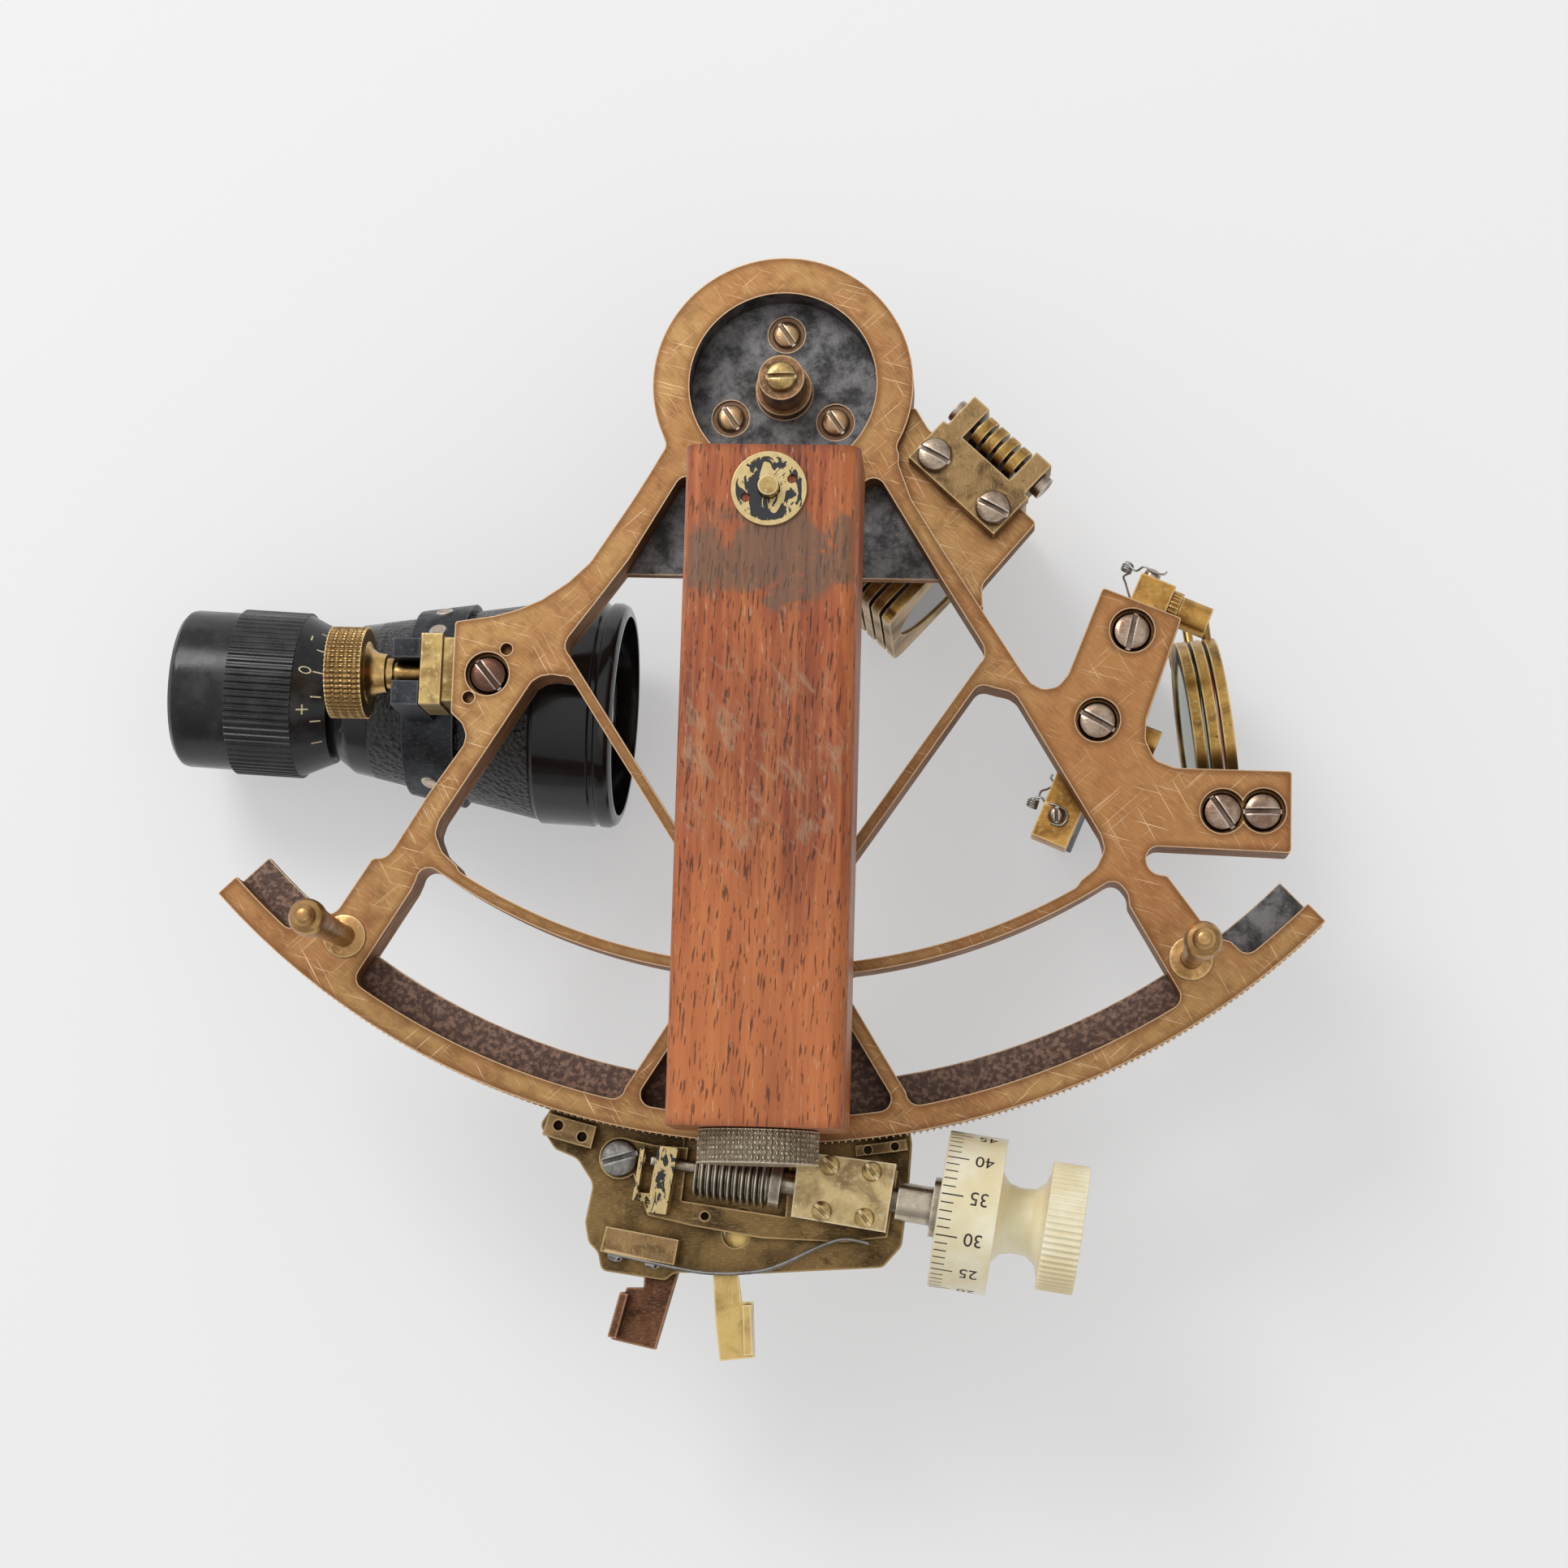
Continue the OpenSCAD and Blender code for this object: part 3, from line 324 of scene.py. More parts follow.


# plain worn metals share one recipe: base, patina in clouds, fine brushing, dark spots, painted shade in
# inner corners, bright edges of rubbed wear and painted highlight;
# leftTone is for what lies left of the frame's left lug, hubTone for what lies inside the ring
toneLimits = {"left": -50.0, "hub": 20.0}


def makeMetal(name, base, patina, light, roughness, clouds, brushed=(1, 1, 1), metallic=1.0, edge=0.6,
              spots=0.0, leftTone=None, hubTone=None, knurl=None):
    mat, shader = startMaterial(name, roughness, metallic)
    where = place(mat)
    cloud = noise(mat, where, clouds, 5.0, 0.62, 0.6)
    grain = noise(mat, place(mat, brushed), 900.0, 3.0, 0.6)
    color = blendColor(mat, step(mat, cloud, 0.34, 0.62), patina, base)
    color = blendColor(mat, step(mat, grain, 0.5, 0.8, 0.0, 0.5), color, light)
    if spots:
        spot = step(mat, noise(mat, where, clouds * 4, 4.0, 0.7), 0.62, 0.70, 0.0, spots)
        color = blendColor(mat, spot, color, darker(patina, 0.35))
    if leftTone:
        limit = toneLimits["left"]
        left = step(mat, axisParts(mat, where)[0], limit * mm, (limit - 1) * mm)
        color = cover(mat, color, leftTone, left, 0.9)
    if hubTone:
        x, y = axisParts(mat, where)[:2]
        color = cover(mat, color, hubTone, near(mat, x, y, (0, 0), toneLimits["hub"]), 0.85)
    # painted shade in inner corners
    color = cover(mat, color, darker(patina, 0.22), grime(mat), 0.7)
    # bright edges: rubbed wear and painted highlight
    color = cover(mat, color, light, worn(mat), edge)
    before = None
    if knurl:
        pattern, rim = knurl(mat, where)
        # painted shade in the knurl's grooves
        color = cover(mat, color, darker(patina, 0.4), calc(mat, "SUBTRACT", rim, pattern), 0.7)
        before = bump(mat, shader, pattern, 0.00035, 1.0)
    connect(mat, color, shader.inputs["Base Color"])
    rough = blendValue(mat, step(mat, cloud, 0.3, 0.65), min(1.0, roughness + 0.18), roughness)
    connect(mat, rough, shader.inputs["Roughness"])
    bump(mat, shader, grain, 0.00005, 0.5, before)
    return mat


# diamond knurling round an axis: two crossed spirals, only on the side faces; pitch in millimetres
def makeKnurl(origin, axis, radius, pitch, span):
    def along(mat, where, direction):
        made = addNode(mat, "ShaderNodeVectorMath", {0: where, 1: tuple(direction)}, operation="DOT_PRODUCT")
        return made.outputs["Value"]

    def knurl(mat, where):
        ahead = Vector(axis).normalized()
        across = Vector((0, 0, 1))
        centre = tuple(Vector(origin) * mm)
        away = addNode(mat, "ShaderNodeVectorMath", {0: where, 1: centre}, operation="SUBTRACT").outputs[0]
        run = along(mat, away, ahead)
        high = along(mat, away, across)
        side = along(mat, away, ahead.cross(across))
        ridges = round(math.tau * radius * 0.866 / pitch)
        arc = calc(mat, "MULTIPLY", calc(mat, "ARCTAN2", side, high), ridges)
        phase = calc(mat, "MULTIPLY", run, math.tau * 0.5 / pitch / mm)
        waves = []
        for operation in ("ADD", "SUBTRACT"):
            wave = calc(mat, "SINE", calc(mat, operation, arc, phase))
            waves.append(step(mat, wave, -0.75, 0.45))
        rim = step(mat, distance(mat, high, side), (radius - 0.6) * mm, (radius - 0.45) * mm)
        rim = both(mat, rim, step(mat, run, span[0] * mm, (span[0] + 0.1) * mm))
        rim = both(mat, rim, step(mat, run, span[1] * mm, (span[1] - 0.1) * mm))
        return both(mat, both(mat, waves[0], waves[1]), rim), rim
    return knurl


# remains of black paint on brass, more of it inside the switch disc's rim; radii in millimetres
discRadius = {"paint": 6.7, "rim": 10.5}


def makePaintedBrass():
    mat, shader = startMaterial("chippedPaint", 0.4, 1.0)
    low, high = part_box("switch_disc")
    middle = [(low[i] + high[i]) / 2 / mm for i in (0, 1)]
    x, y = axisParts(mat, place(mat))[:2]
    inside = near(mat, x, y, middle, discRadius["paint"])
    rim = calc(mat, "SUBTRACT", near(mat, x, y, middle, discRadius["rim"]), inside)
    where = place(mat, (1, 0.5, 1))
    chip = noise(mat, where, 420.0, 4.0, 0.6, 1.2)
    patches = noise(mat, where, 60.0, 1.0, 0.5)
    patch = calc(mat, "MULTIPLY", calc(mat, "SUBTRACT", patches, 0.5), 0.5)
    moreInside = calc(mat, "MULTIPLY", calc(mat, "SUBTRACT", inside, rim), 0.07)
    chip = calc(mat, "ADD", calc(mat, "ADD", chip, patch), moreInside)
    paint = step(mat, chip, 0.53, 0.55)
    brassColor = blendColor(mat, noise(mat, where, 900.0, 3.0), (0.50, 0.36, 0.15), (0.78, 0.62, 0.33))
    connect(mat, blendColor(mat, paint, brassColor, (0.012, 0.013, 0.016)), shader.inputs["Base Color"])
    connect(mat, blendValue(mat, paint, 1.0, 0.0), shader.inputs["Metallic"])
    connect(mat, blendValue(mat, paint, 0.33, 0.5), shader.inputs["Roughness"])
    bump(mat, shader, paint, 0.00008, 0.8)
    return mat


# reddish hardwood: long grain along the grip, dark pores, grey-brown stain near the top, worn pale middle
wood = {"deep": (0.120, 0.022, 0.009), "mid": (0.34, 0.078, 0.023), "light": (0.60, 0.200, 0.060),
        "stain": (0.120, 0.090, 0.060), "pale": (0.40, 0.25, 0.15), "pore": (0.030, 0.007, 0.004),
        "fleck": (0.62, 0.38, 0.22)}


def makeWood():
    mat, shader = startMaterial("oiledHardwood", 0.36, 0.0, Coat_Weight=0.15, Coat_Roughness=0.25,
                                Specular_IOR_Level=0.35)
    y = axisParts(mat, place(mat))[1]
    bands = noise(mat, place(mat, (1.0, 0.07, 1.0)), 190.0, 6.0, 0.66, 0.4)
    fine = noise(mat, place(mat, (1.0, 0.04, 1.0)), 900.0, 4.0, 0.6)
    pores = noise(mat, place(mat, (1.0, 0.11, 1.0), (0, 0, 0.05)), 2100.0, 2.0, 0.5)
    cloud = noise(mat, place(mat, (1.0, 0.5, 1.0)), 40.0, 4.0, 0.55, 0.4)
    color = ramp(mat, bands, [(0.22, wood["deep"]), (0.46, wood["mid"]), (0.74, wood["light"])])
    color = blendColor(mat, step(mat, cloud, 0.45, 0.72, 0.0, 0.42), color, wood["deep"])
    color = blendColor(mat, step(mat, y, -0.098, -0.130, 0.0, 0.35), color, wood["light"])
    color = blendColor(mat, step(mat, fine, 0.42, 0.7, 0.0, 0.45), color, wood["light"])
    pore = step(mat, pores, 0.60, 0.66)
    color = cover(mat, color, wood["pore"], pore, 0.72)
    flecks = step(mat, noise(mat, place(mat, (1.0, 0.14, 1.0), (0, 0, -0.04)), 1800.0, 2.0, 0.5), 0.66, 0.71)
    color = cover(mat, color, wood["fleck"], flecks, 0.4)
    up = step(mat, facing(mat)[2], 0.5, 0.9)
    stainShape = calc(mat, "ADD", step(mat, y, -0.066, -0.048), step(mat, y, -0.028, -0.044))
    stainShape = calc(mat, "SUBTRACT", stainShape, 1.0)
    ragged = noise(mat, place(mat, (1.0, 1.4, 1.0), (0, 0, 0.5)), 95.0, 5.0, 0.65, 0.8)
    stain = step(mat, calc(mat, "ADD", calc(mat, "MULTIPLY", stainShape, 0.42), ragged), 0.74, 0.92)
    color = cover(mat, color, wood["stain"], both(mat, stain, up), 0.7)
    wearShape = both(mat, step(mat, y, -0.128, -0.095), step(mat, y, -0.060, -0.075))
    scuff = noise(mat, place(mat, (1.0, 0.4, 1.0), (0, 0, -0.6)), 260.0, 5.0, 0.7, 0.6)
    wear = step(mat, calc(mat, "ADD", calc(mat, "MULTIPLY", wearShape, 0.16), scuff), 0.64, 0.82)
    color = cover(mat, color, wood["pale"], both(mat, wear, up), 0.6)
    # darker along the grip's rounded edges
    color = cover(mat, color, wood["deep"], worn(mat, 2.5, 0.9, 0.5), 0.5)
    connect(mat, color, shader.inputs["Base Color"])
    rough = blendValue(mat, step(mat, fine, 0.3, 0.7), 0.34, 0.50)
    connect(mat, rough, shader.inputs["Roughness"])
    height = calc(mat, "SUBTRACT", calc(mat, "MULTIPLY", fine, 0.35), pore)
    bump(mat, shader, height, 0.00016, 0.75)
    return mat


def makeIvory():
    mat, shader = startMaterial("agedIvory", 0.32, 0.0, (0.86, 0.78, 0.56), Subsurface_Weight=0.12,
                                Coat_Weight=0.2, Coat_Roughness=0.2)
    where = place(mat)
    cloud = noise(mat, where, 90.0, 4.0, 0.55)
    color = blendColor(mat, step(mat, cloud, 0.35, 0.7), (0.82, 0.69, 0.42), (0.94, 0.87, 0.66))
    # painted shade between the drum's ribs and in its corners
    ambient = addNode(mat, "ShaderNodeAmbientOcclusion", {"Distance": 0.0016})
    creaseShade = step(mat, ambient.outputs["AO"], 0.86, 0.42)
    color = cover(mat, color, (0.20, 0.13, 0.06), creaseShade, 0.8)
    specks = step(mat, noise(mat, where, 1500.0, 2.0), 0.72, 0.76)
    color = cover(mat, color, (0.35, 0.24, 0.12), specks, 0.5)
    connect(mat, color, shader.inputs["Base Color"])
    bump(mat, shader, noise(mat, where, 700.0, 3.0), 0.00003, 0.5)
    return mat


# the telescope's axis starts at its eye end; the leather's span is measured along it
scope = {"eyeEnd": (-134.9, -61.7, -42), "slope": math.radians(-2.47), "leather": (43.0, 80.6)}


def makeTube():
    mat, shader = startMaterial("blackLacquer", 0.16, 0.0, Coat_Weight=0.25, Coat_Roughness=0.08,
                                Specular_IOR_Level=0.35)
    start = Matrix.Rotation(-scope["slope"], 3, "Z") @ Vector(scope["eyeEnd"]) * -mm
    turned = place(mat, (1, 1, 1), (0, 0, -scope["slope"]), tuple(start))
    u = axisParts(mat, turned)[0]
    low, high = scope["leather"]
    leather = both(mat, step(mat, u, low * mm, (low + 0.3) * mm), step(mat, u, high * mm, (high - 0.3) * mm))
    grain = cells(mat, turned, 800.0, "F1")
    grainB = cells(mat, turned, 360.0, "SMOOTH_F1")
    rubbed = noise(mat, turned, 70.0, 4.0)
    color = blendColor(mat, leather, (0.009, 0.0085, 0.009), (0.019, 0.018, 0.018))
    # warm light edges on the lacquer: rubbed wear and painted highlight
    color = cover(mat, color, (0.22, 0.17, 0.11), worn(mat, 0.4), 0.25)
    connect(mat, color, shader.inputs["Base Color"])
    rough = blendValue(mat, leather, step(mat, rubbed, 0.4, 0.7, 0.14, 0.30), 0.34)
    connect(mat, rough, shader.inputs["Roughness"])
    height = both(mat, calc(mat, "ADD", grain, calc(mat, "MULTIPLY", grainB, 0.8)), leather)
    bump(mat, shader, height, 0.0008, 1.0)
    return mat


def makeBlackPlastic():
    mat, shader = startMaterial("ribbedBlack", 0.30, 0.0, (0.02, 0.02, 0.021), Specular_IOR_Level=0.4)
    where = place(mat)
    rubbed = noise(mat, where, 160.0, 5.0, 0.65)
    color = blendColor(mat, step(mat, rubbed, 0.42, 0.72), (0.010, 0.010, 0.011), (0.032, 0.032, 0.034))
    # grey edges on the ribs: rubbed wear and painted highlight
    color = cover(mat, color, (0.10, 0.095, 0.09), worn(mat, 0.3), 0.3)
    connect(mat, color, shader.inputs["Base Color"])
    connect(mat, step(mat, rubbed, 0.35, 0.7, 0.20, 0.36), shader.inputs["Roughness"])
    bump(mat, shader, noise(mat, where, 1400.0, 3.0), 0.00003, 0.5)
    return mat


def makeMirror():
    mat, shader = startMaterial("silveredGlass", 0.03, 1.0, (0.86, 0.88, 0.89))
    haze = noise(mat, place(mat), 60.0, 5.0, 0.65)
    connect(mat, step(mat, haze, 0.5, 0.85, 0.02, 0.22), shader.inputs["Roughness"])
    color = blendColor(mat, step(mat, haze, 0.55, 0.8, 0.0, 0.5), (0.86, 0.88, 0.89), (0.62, 0.63, 0.62))
    connect(mat, color, shader.inputs["Base Color"])
    return mat


def makeGlass(name, tint):
    mat, shader = startMaterial(name, 0.02, 0.0, tint, Transmission_Weight=1.0, IOR=1.5)
    dust = noise(mat, place(mat), 300.0, 4.0, 0.6)
    connect(mat, step(mat, dust, 0.55, 0.85, 0.015, 0.14), shader.inputs["Roughness"])
    paler = tuple(min(1.0, v + 0.15) for v in tint)
    color = blendColor(mat, step(mat, dust, 0.6, 0.85, 0.0, 0.3), tint, paler)
    connect(mat, color, shader.inputs["Base Color"])
    return mat


gripLean = math.radians(0.3)
capKnurl = makeKnurl((1.97, -160.8, 24), (math.sin(gripLean), -math.cos(gripLean), 0), 12.2, 0.95, (0.3, 6.6))
clampKnurl = makeKnurl((-96, -63.8, -7), (1, 0, 0), 9.9, 0.95, (0.3, 7.7))
# surfaces of the metal pieces: colours are linear, clouds is the pattern's frequency per metre,
# brushed stretches the fine grain along the smaller numbers
metals = {
    "armBronze": {"name": "armBronze", "base": (0.25, 0.158, 0.064), "patina": (0.085, 0.052, 0.024),
                  "light": (0.72, 0.50, 0.24), "roughness": 0.36, "brushed": (1, 6, 1), "clouds": 75,
                  "edge": 0.85, "spots": 0.6},
    "brass": {"name": "yellowBrass", "base": (0.58, 0.41, 0.16), "patina": (0.25, 0.155, 0.058),
              "light": (0.92, 0.75, 0.44), "roughness": 0.28, "brushed": (1, 1, 8), "clouds": 130,
              "edge": 0.8, "spots": 0.45},
    "paleBrass": {"name": "paleBrass", "base": (0.70, 0.53, 0.26), "patina": (0.34, 0.235, 0.115),
                  "light": (0.95, 0.83, 0.58), "roughness": 0.27, "brushed": (1, 1, 8), "clouds": 130,
                  "edge": 0.8, "spots": 0.4},
    "orangeBrass": {"name": "orangeBrass", "base": (0.60, 0.33, 0.085), "patina": (0.28, 0.135, 0.036),
                    "light": (0.90, 0.64, 0.28), "roughness": 0.28, "brushed": (1, 1, 8), "clouds": 120,
                    "edge": 0.8, "spots": 0.5},
    "goldLever": {"name": "polishedBrass", "base": (0.74, 0.52, 0.19), "patina": (0.42, 0.265, 0.085),
                  "light": (0.96, 0.80, 0.46), "roughness": 0.22, "brushed": (6, 1, 1), "clouds": 120,
                  "edge": 0.8, "spots": 0.35},
    "oldBrass": {"name": "oldBrass", "base": (0.34, 0.215, 0.095), "patina": (0.13, 0.078, 0.036),
                 "light": (0.74, 0.54, 0.29), "roughness": 0.36, "brushed": (6, 1, 1), "clouds": 140,
                 "edge": 0.85, "spots": 0.6},
    "legBrass": {"name": "legBrass", "base": (0.52, 0.30, 0.12), "patina": (0.28, 0.145, 0.055),
                 "light": (0.86, 0.62, 0.32), "roughness": 0.30, "brushed": (1, 1, 6), "clouds": 160,
                 "edge": 0.5, "spots": 0.3},
    "shadeBrass": {"name": "shadeBrass", "base": (0.52, 0.31, 0.085), "patina": (0.19, 0.100, 0.032),
                   "light": (0.86, 0.64, 0.30), "roughness": 0.28, "brushed": (1, 1, 6), "clouds": 95,
                   "edge": 0.9, "spots": 0.75},
    "post": {"name": "postPatina", "base": (0.34, 0.19, 0.095), "patina": (0.12, 0.062, 0.036),
             "light": (0.66, 0.47, 0.28), "roughness": 0.34, "brushed": (1, 1, 6), "clouds": 150,
             "edge": 0.8, "spots": 0.5},
    "nickel": {"name": "tarnishedNickel", "base": (0.46, 0.36, 0.27), "patina": (0.21, 0.135, 0.090),
               "light": (0.82, 0.76, 0.68), "roughness": 0.26, "brushed": (1, 9, 1), "clouds": 170,
               "edge": 0.8, "spots": 0.55, "hubTone": (0.44, 0.27, 0.13)},
    "lugNickel": {"name": "lugNickel", "base": (0.46, 0.34, 0.25), "patina": (0.22, 0.13, 0.085),
                  "light": (0.84, 0.76, 0.68), "roughness": 0.24, "brushed": (1, 9, 1), "clouds": 190,
                  "edge": 0.8, "spots": 0.5, "leftTone": (0.11, 0.045, 0.030)},
    "greyScrew": {"name": "greyScrew", "base": (0.34, 0.33, 0.31), "patina": (0.15, 0.14, 0.13),
                  "light": (0.66, 0.64, 0.61), "roughness": 0.32, "brushed": (1, 9, 1), "clouds": 170,
                  "edge": 0.7, "spots": 0.5},
    "capKnurl": {"name": "knurledCap", "base": (0.66, 0.55, 0.40), "patina": (0.34, 0.25, 0.155),
                 "light": (0.94, 0.87, 0.74), "roughness": 0.27, "clouds": 150, "spots": 0.3,
                 "knurl": capKnurl},
    "clampKnurl": {"name": "knurledBrass", "base": (0.62, 0.40, 0.15), "patina": (0.34, 0.19, 0.065),
                   "light": (0.92, 0.72, 0.40), "roughness": 0.26, "brushed": (1, 1, 6), "clouds": 150,
                   "spots": 0.2, "knurl": clampKnurl},
    "copper": {"name": "wornCopper", "base": (0.17, 0.078, 0.043), "patina": (0.075, 0.034, 0.022),
               "light": (0.66, 0.38, 0.22), "roughness": 0.38, "brushed": (1, 5, 1), "clouds": 150,
               "edge": 0.9, "spots": 0.65},
    "steel": {"name": "polishedSteel", "base": (0.60, 0.52, 0.40), "patina": (0.30, 0.245, 0.18),
              "light": (0.92, 0.86, 0.74), "roughness": 0.22, "brushed": (1, 1, 6), "clouds": 150,
              "edge": 0.75},
    "darkSteel": {"name": "springSteel", "base": (0.27, 0.255, 0.24), "patina": (0.12, 0.11, 0.10),
                  "light": (0.56, 0.54, 0.51), "roughness": 0.30, "brushed": (1, 1, 6), "clouds": 200,
                  "edge": 0.7},
    "silver": {"name": "scaleSilver", "base": (0.70, 0.70, 0.68), "patina": (0.50, 0.50, 0.48),
               "light": (0.86, 0.86, 0.85), "roughness": 0.34, "brushed": (5, 1, 1), "clouds": 90},
    "blued": {"name": "bluedSteel", "base": (0.030, 0.034, 0.042), "patina": (0.012, 0.013, 0.015),
              "light": (0.16, 0.165, 0.18), "roughness": 0.36, "brushed": (1, 1, 5), "clouds": 130,
              "metallic": 0.6, "edge": 0.5},
    "can": {"name": "cellCan", "base": (0.70, 0.70, 0.72), "patina": (0.55, 0.55, 0.57),
            "light": (0.85, 0.85, 0.86), "roughness": 0.3, "clouds": 90},
}
finishes = {key: makeMetal(**metal) for key, metal in metals.items()}
finishes.update({
    "castBronze": makeCasting(),
    "paint": makePaintedBrass(),
    "wood": makeWood(),
    "ivory": makeIvory(),
    "tube": makeTube(),
    "plastic": makeBlackPlastic(),
    "mirror": makeMirror(),
    "lens": makeGlass("coatedLens", (0.93, 0.96, 0.97)),
    "green": makeGlass("greenShade", (0.10, 0.36, 0.16)),
    "amber": makeGlass("amberShade", (0.62, 0.32, 0.07)),
    "red": makeGlass("redShade", (0.55, 0.08, 0.05)),
    "grey": makeGlass("smokeShade", (0.16, 0.16, 0.18)),
})

dress = {
    "castBronze": ["frame_casting"],
    "armBronze": ["index_arm", "worm_carrier"],
    "silver": ["arc_scale"],
    "nickel": ["slotted_screws", "shade_pins"],
    "lugNickel": ["lug_screws"],
    "greyScrew": ["arm_screws"],
    "capKnurl": ["battery_cap"],
    "clampKnurl": ["clamp_screw"],
    "legBrass": ["rear_legs"],
    "post": ["pivot_bearing"],
    "steel": ["pivot_arbor", "worm_shaft"],
    "darkSteel": ["leaf_spring", "mirror_springs"],
    "brass": ["clamp_block", "magnifier_post", "pivot_cap_screw", "push_button", "housing_screws"],
    "paleBrass": ["bearing_housing"],
    "orangeBrass": ["horizon_mirror_base", "horizon_adjusters"],
    "goldLever": ["release_lever"],
    "shadeBrass": ["index_shade_1", "index_shade_2", "index_shade_3", "index_shade_4", "horizon_shade_1",
                   "horizon_shade_2", "horizon_shade_3"],
    "oldBrass": ["spring_block", "index_shade_bracket", "guide_shoes"],
    "copper": ["fixed_lever"],
    "paint": ["switch_disc", "end_block"],
    "blued": ["index_mirror_frame", "horizon_mirror_frame", "horizon_shade_bracket", "telescope_band"],
    "tube": ["telescope_tube", "magnifier_arm"],
    "plastic": ["focus_ring"],
    "ivory": ["drum"],
    "wood": ["handle_grip"],
    "can": ["battery_cells"],
    "mirror": ["index_mirror_glass", "horizon_mirror_glass"],
    "lens": ["objective_lens", "eyepiece_lens", "magnifier_lens"],
    "green": ["index_glass_1", "horizon_glass_1"],
    "amber": ["index_glass_2", "horizon_glass_2"],
    "red": ["index_glass_3", "horizon_glass_3"],
    "grey": ["index_glass_4"],
}
for finish, names in dress.items():
    for name in names:
        slots = nodes[name].material_slots
        if not slots:
            nodes[name].data.materials.append(finishes[finish])
        for slot in slots:
            slot.material = finishes[finish]
print("materials assigned")


# widths of the softened edges on the solids; the pieces not named here have the usual one
softEdges = {
    2.2: ["handle_grip"],
    0.4: ["index_shade_bracket"],
    0.35: ["frame_casting", "clamp_block", "horizon_mirror_base"],
    0.3: ["index_arm", "bearing_housing", "spring_block", "end_block", "telescope_band", "guide_shoes",
          "index_mirror_frame", "horizon_mirror_frame", "horizon_shade_bracket"],
    0.25: ["fixed_lever", "release_lever", "worm_carrier"],
    0.2: ["drum", "switch_disc"],
    0.15: ["focus_ring", "clamp_screw", "battery_cap"],
}
usualEdge = 0.12
edgeOf = {name: width for width, names in softEdges.items() for name in names}
shadeGroup = bpy.data.node_groups.new("shadeSmooth", "GeometryNodeTree")
shadeGroup.interface.new_socket("Geometry", in_out="INPUT", socket_type="NodeSocketGeometry")
shadeGroup.interface.new_socket("Geometry", in_out="OUTPUT", socket_type="NodeSocketGeometry")
shadeIn = shadeGroup.nodes.new("NodeGroupInput")
shadeSet = shadeGroup.nodes.new("GeometryNodeSetShadeSmooth")
shadeOut = shadeGroup.nodes.new("NodeGroupOutput")
shadeGroup.links.new(shadeIn.outputs[0], shadeSet.inputs[0])
shadeGroup.links.new(shadeSet.outputs[0], shadeOut.inputs[0])
for name, node in nodes.items():
    weld = node.modifiers.new("weld", "WELD")
    weld.merge_threshold = 0.000005
    flatten = node.modifiers.new("flatten", "DECIMATE")
    flatten.decimate_type = "DISSOLVE"
    flatten.angle_limit = math.radians(0.6)
    if not name.endswith("springs"):
        soften = node.modifiers.new("soften", "BEVEL")
        soften.width = edgeOf.get(name, usualEdge) * mm
        soften.segments = 2
        soften.limit_method = "ANGLE"
        soften.angle_limit = math.radians(32)
        soften.harden_normals = False
    shade = node.modifiers.new("shade", "NODES")
    shade.node_group = shadeGroup
    smooth = node.modifiers.new("smooth", "WEIGHTED_NORMAL")
    smooth.keep_sharp = True
    smooth.weight = 60
print("edges softened")


# the worm's axis: its distance from the pivot, its lean on the arm in degrees,
# its height and the arm's rest angle
worm = {"reach": 168.0, "slope": -4.7, "height": -5.0, "armRest": -2.8}

# drum divisions: sixty ticks and a number at every fifth; (other ticks, fifth ticks) in each pair
drumMarks = {"skin": 16.22, "start": 60.35, "ticksAt": 0.35, "tick": (2.6, 4.4), "halfTurn": (0.42, 0.5),
             "numbersAt": 8.0, "firstNumber": 35, "firstAngle": 10, "digit": 4.0}


# from a frame whose first axis is a shaft's to the row's frame
def shaftMatrix(spot, lean):
    return Matrix.Translation(Vector(spot) * mm) @ Matrix.Rotation(lean, 4, "Z")


def wormMatrix():
    lean = math.radians(worm["slope"] + worm["armRest"])
    reach = worm["reach"]
    return shaftMatrix((reach * math.sin(lean), -reach * math.cos(lean), worm["height"]), lean)


def meshPiece(name, points, faces, material, body, spot=None):
    mesh = bpy.data.meshes.new(name)
    mesh.from_pydata([tuple(p) for p in points], [], faces)
    mesh.update()
    piece = bpy.data.objects.new(name, mesh)
    bpy.context.scene.collection.objects.link(piece)
    mesh.materials.append(material)
    if spot is not None:
        mesh.transform(spot)
    if body:
        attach(piece, body)
    return piece


def onDrum(along, spin):
    skin = drumMarks["skin"]
    return Vector((drumMarks["start"] + along, skin * math.sin(spin), skin * math.cos(spin))) * mm


def textPoints(words, size):
    curve = bpy.data.curves.new("lettering", "FONT")
    curve.body = words
    curve.size = size
    curve.align_x = "CENTER"
    curve.align_y = "CENTER"
    holder = bpy.data.objects.new("lettering", curve)
    bpy.context.scene.collection.objects.link(holder)
    bpy.context.view_layer.update()
    mesh = bpy.data.meshes.new_from_object(holder)
    points = [v.co.copy() for v in mesh.vertices]
    faces = [tuple(f.vertices) for f in mesh.polygons]
    bpy.data.objects.remove(holder)
    bpy.data.curves.remove(curve)
    bpy.data.meshes.remove(mesh)
    return points, faces


def makeInk():
    mat, shader = startMaterial("engravedInk", 0.5, 0.0)
    fade = noise(mat, place(mat), 1800.0, 3.0)
    connect(mat, blendColor(mat, step(mat, fade, 0.55, 0.8), (0.012, 0.011, 0.010), (0.09, 0.07, 0.05)),
            shader.inputs["Base Color"])
    return mat


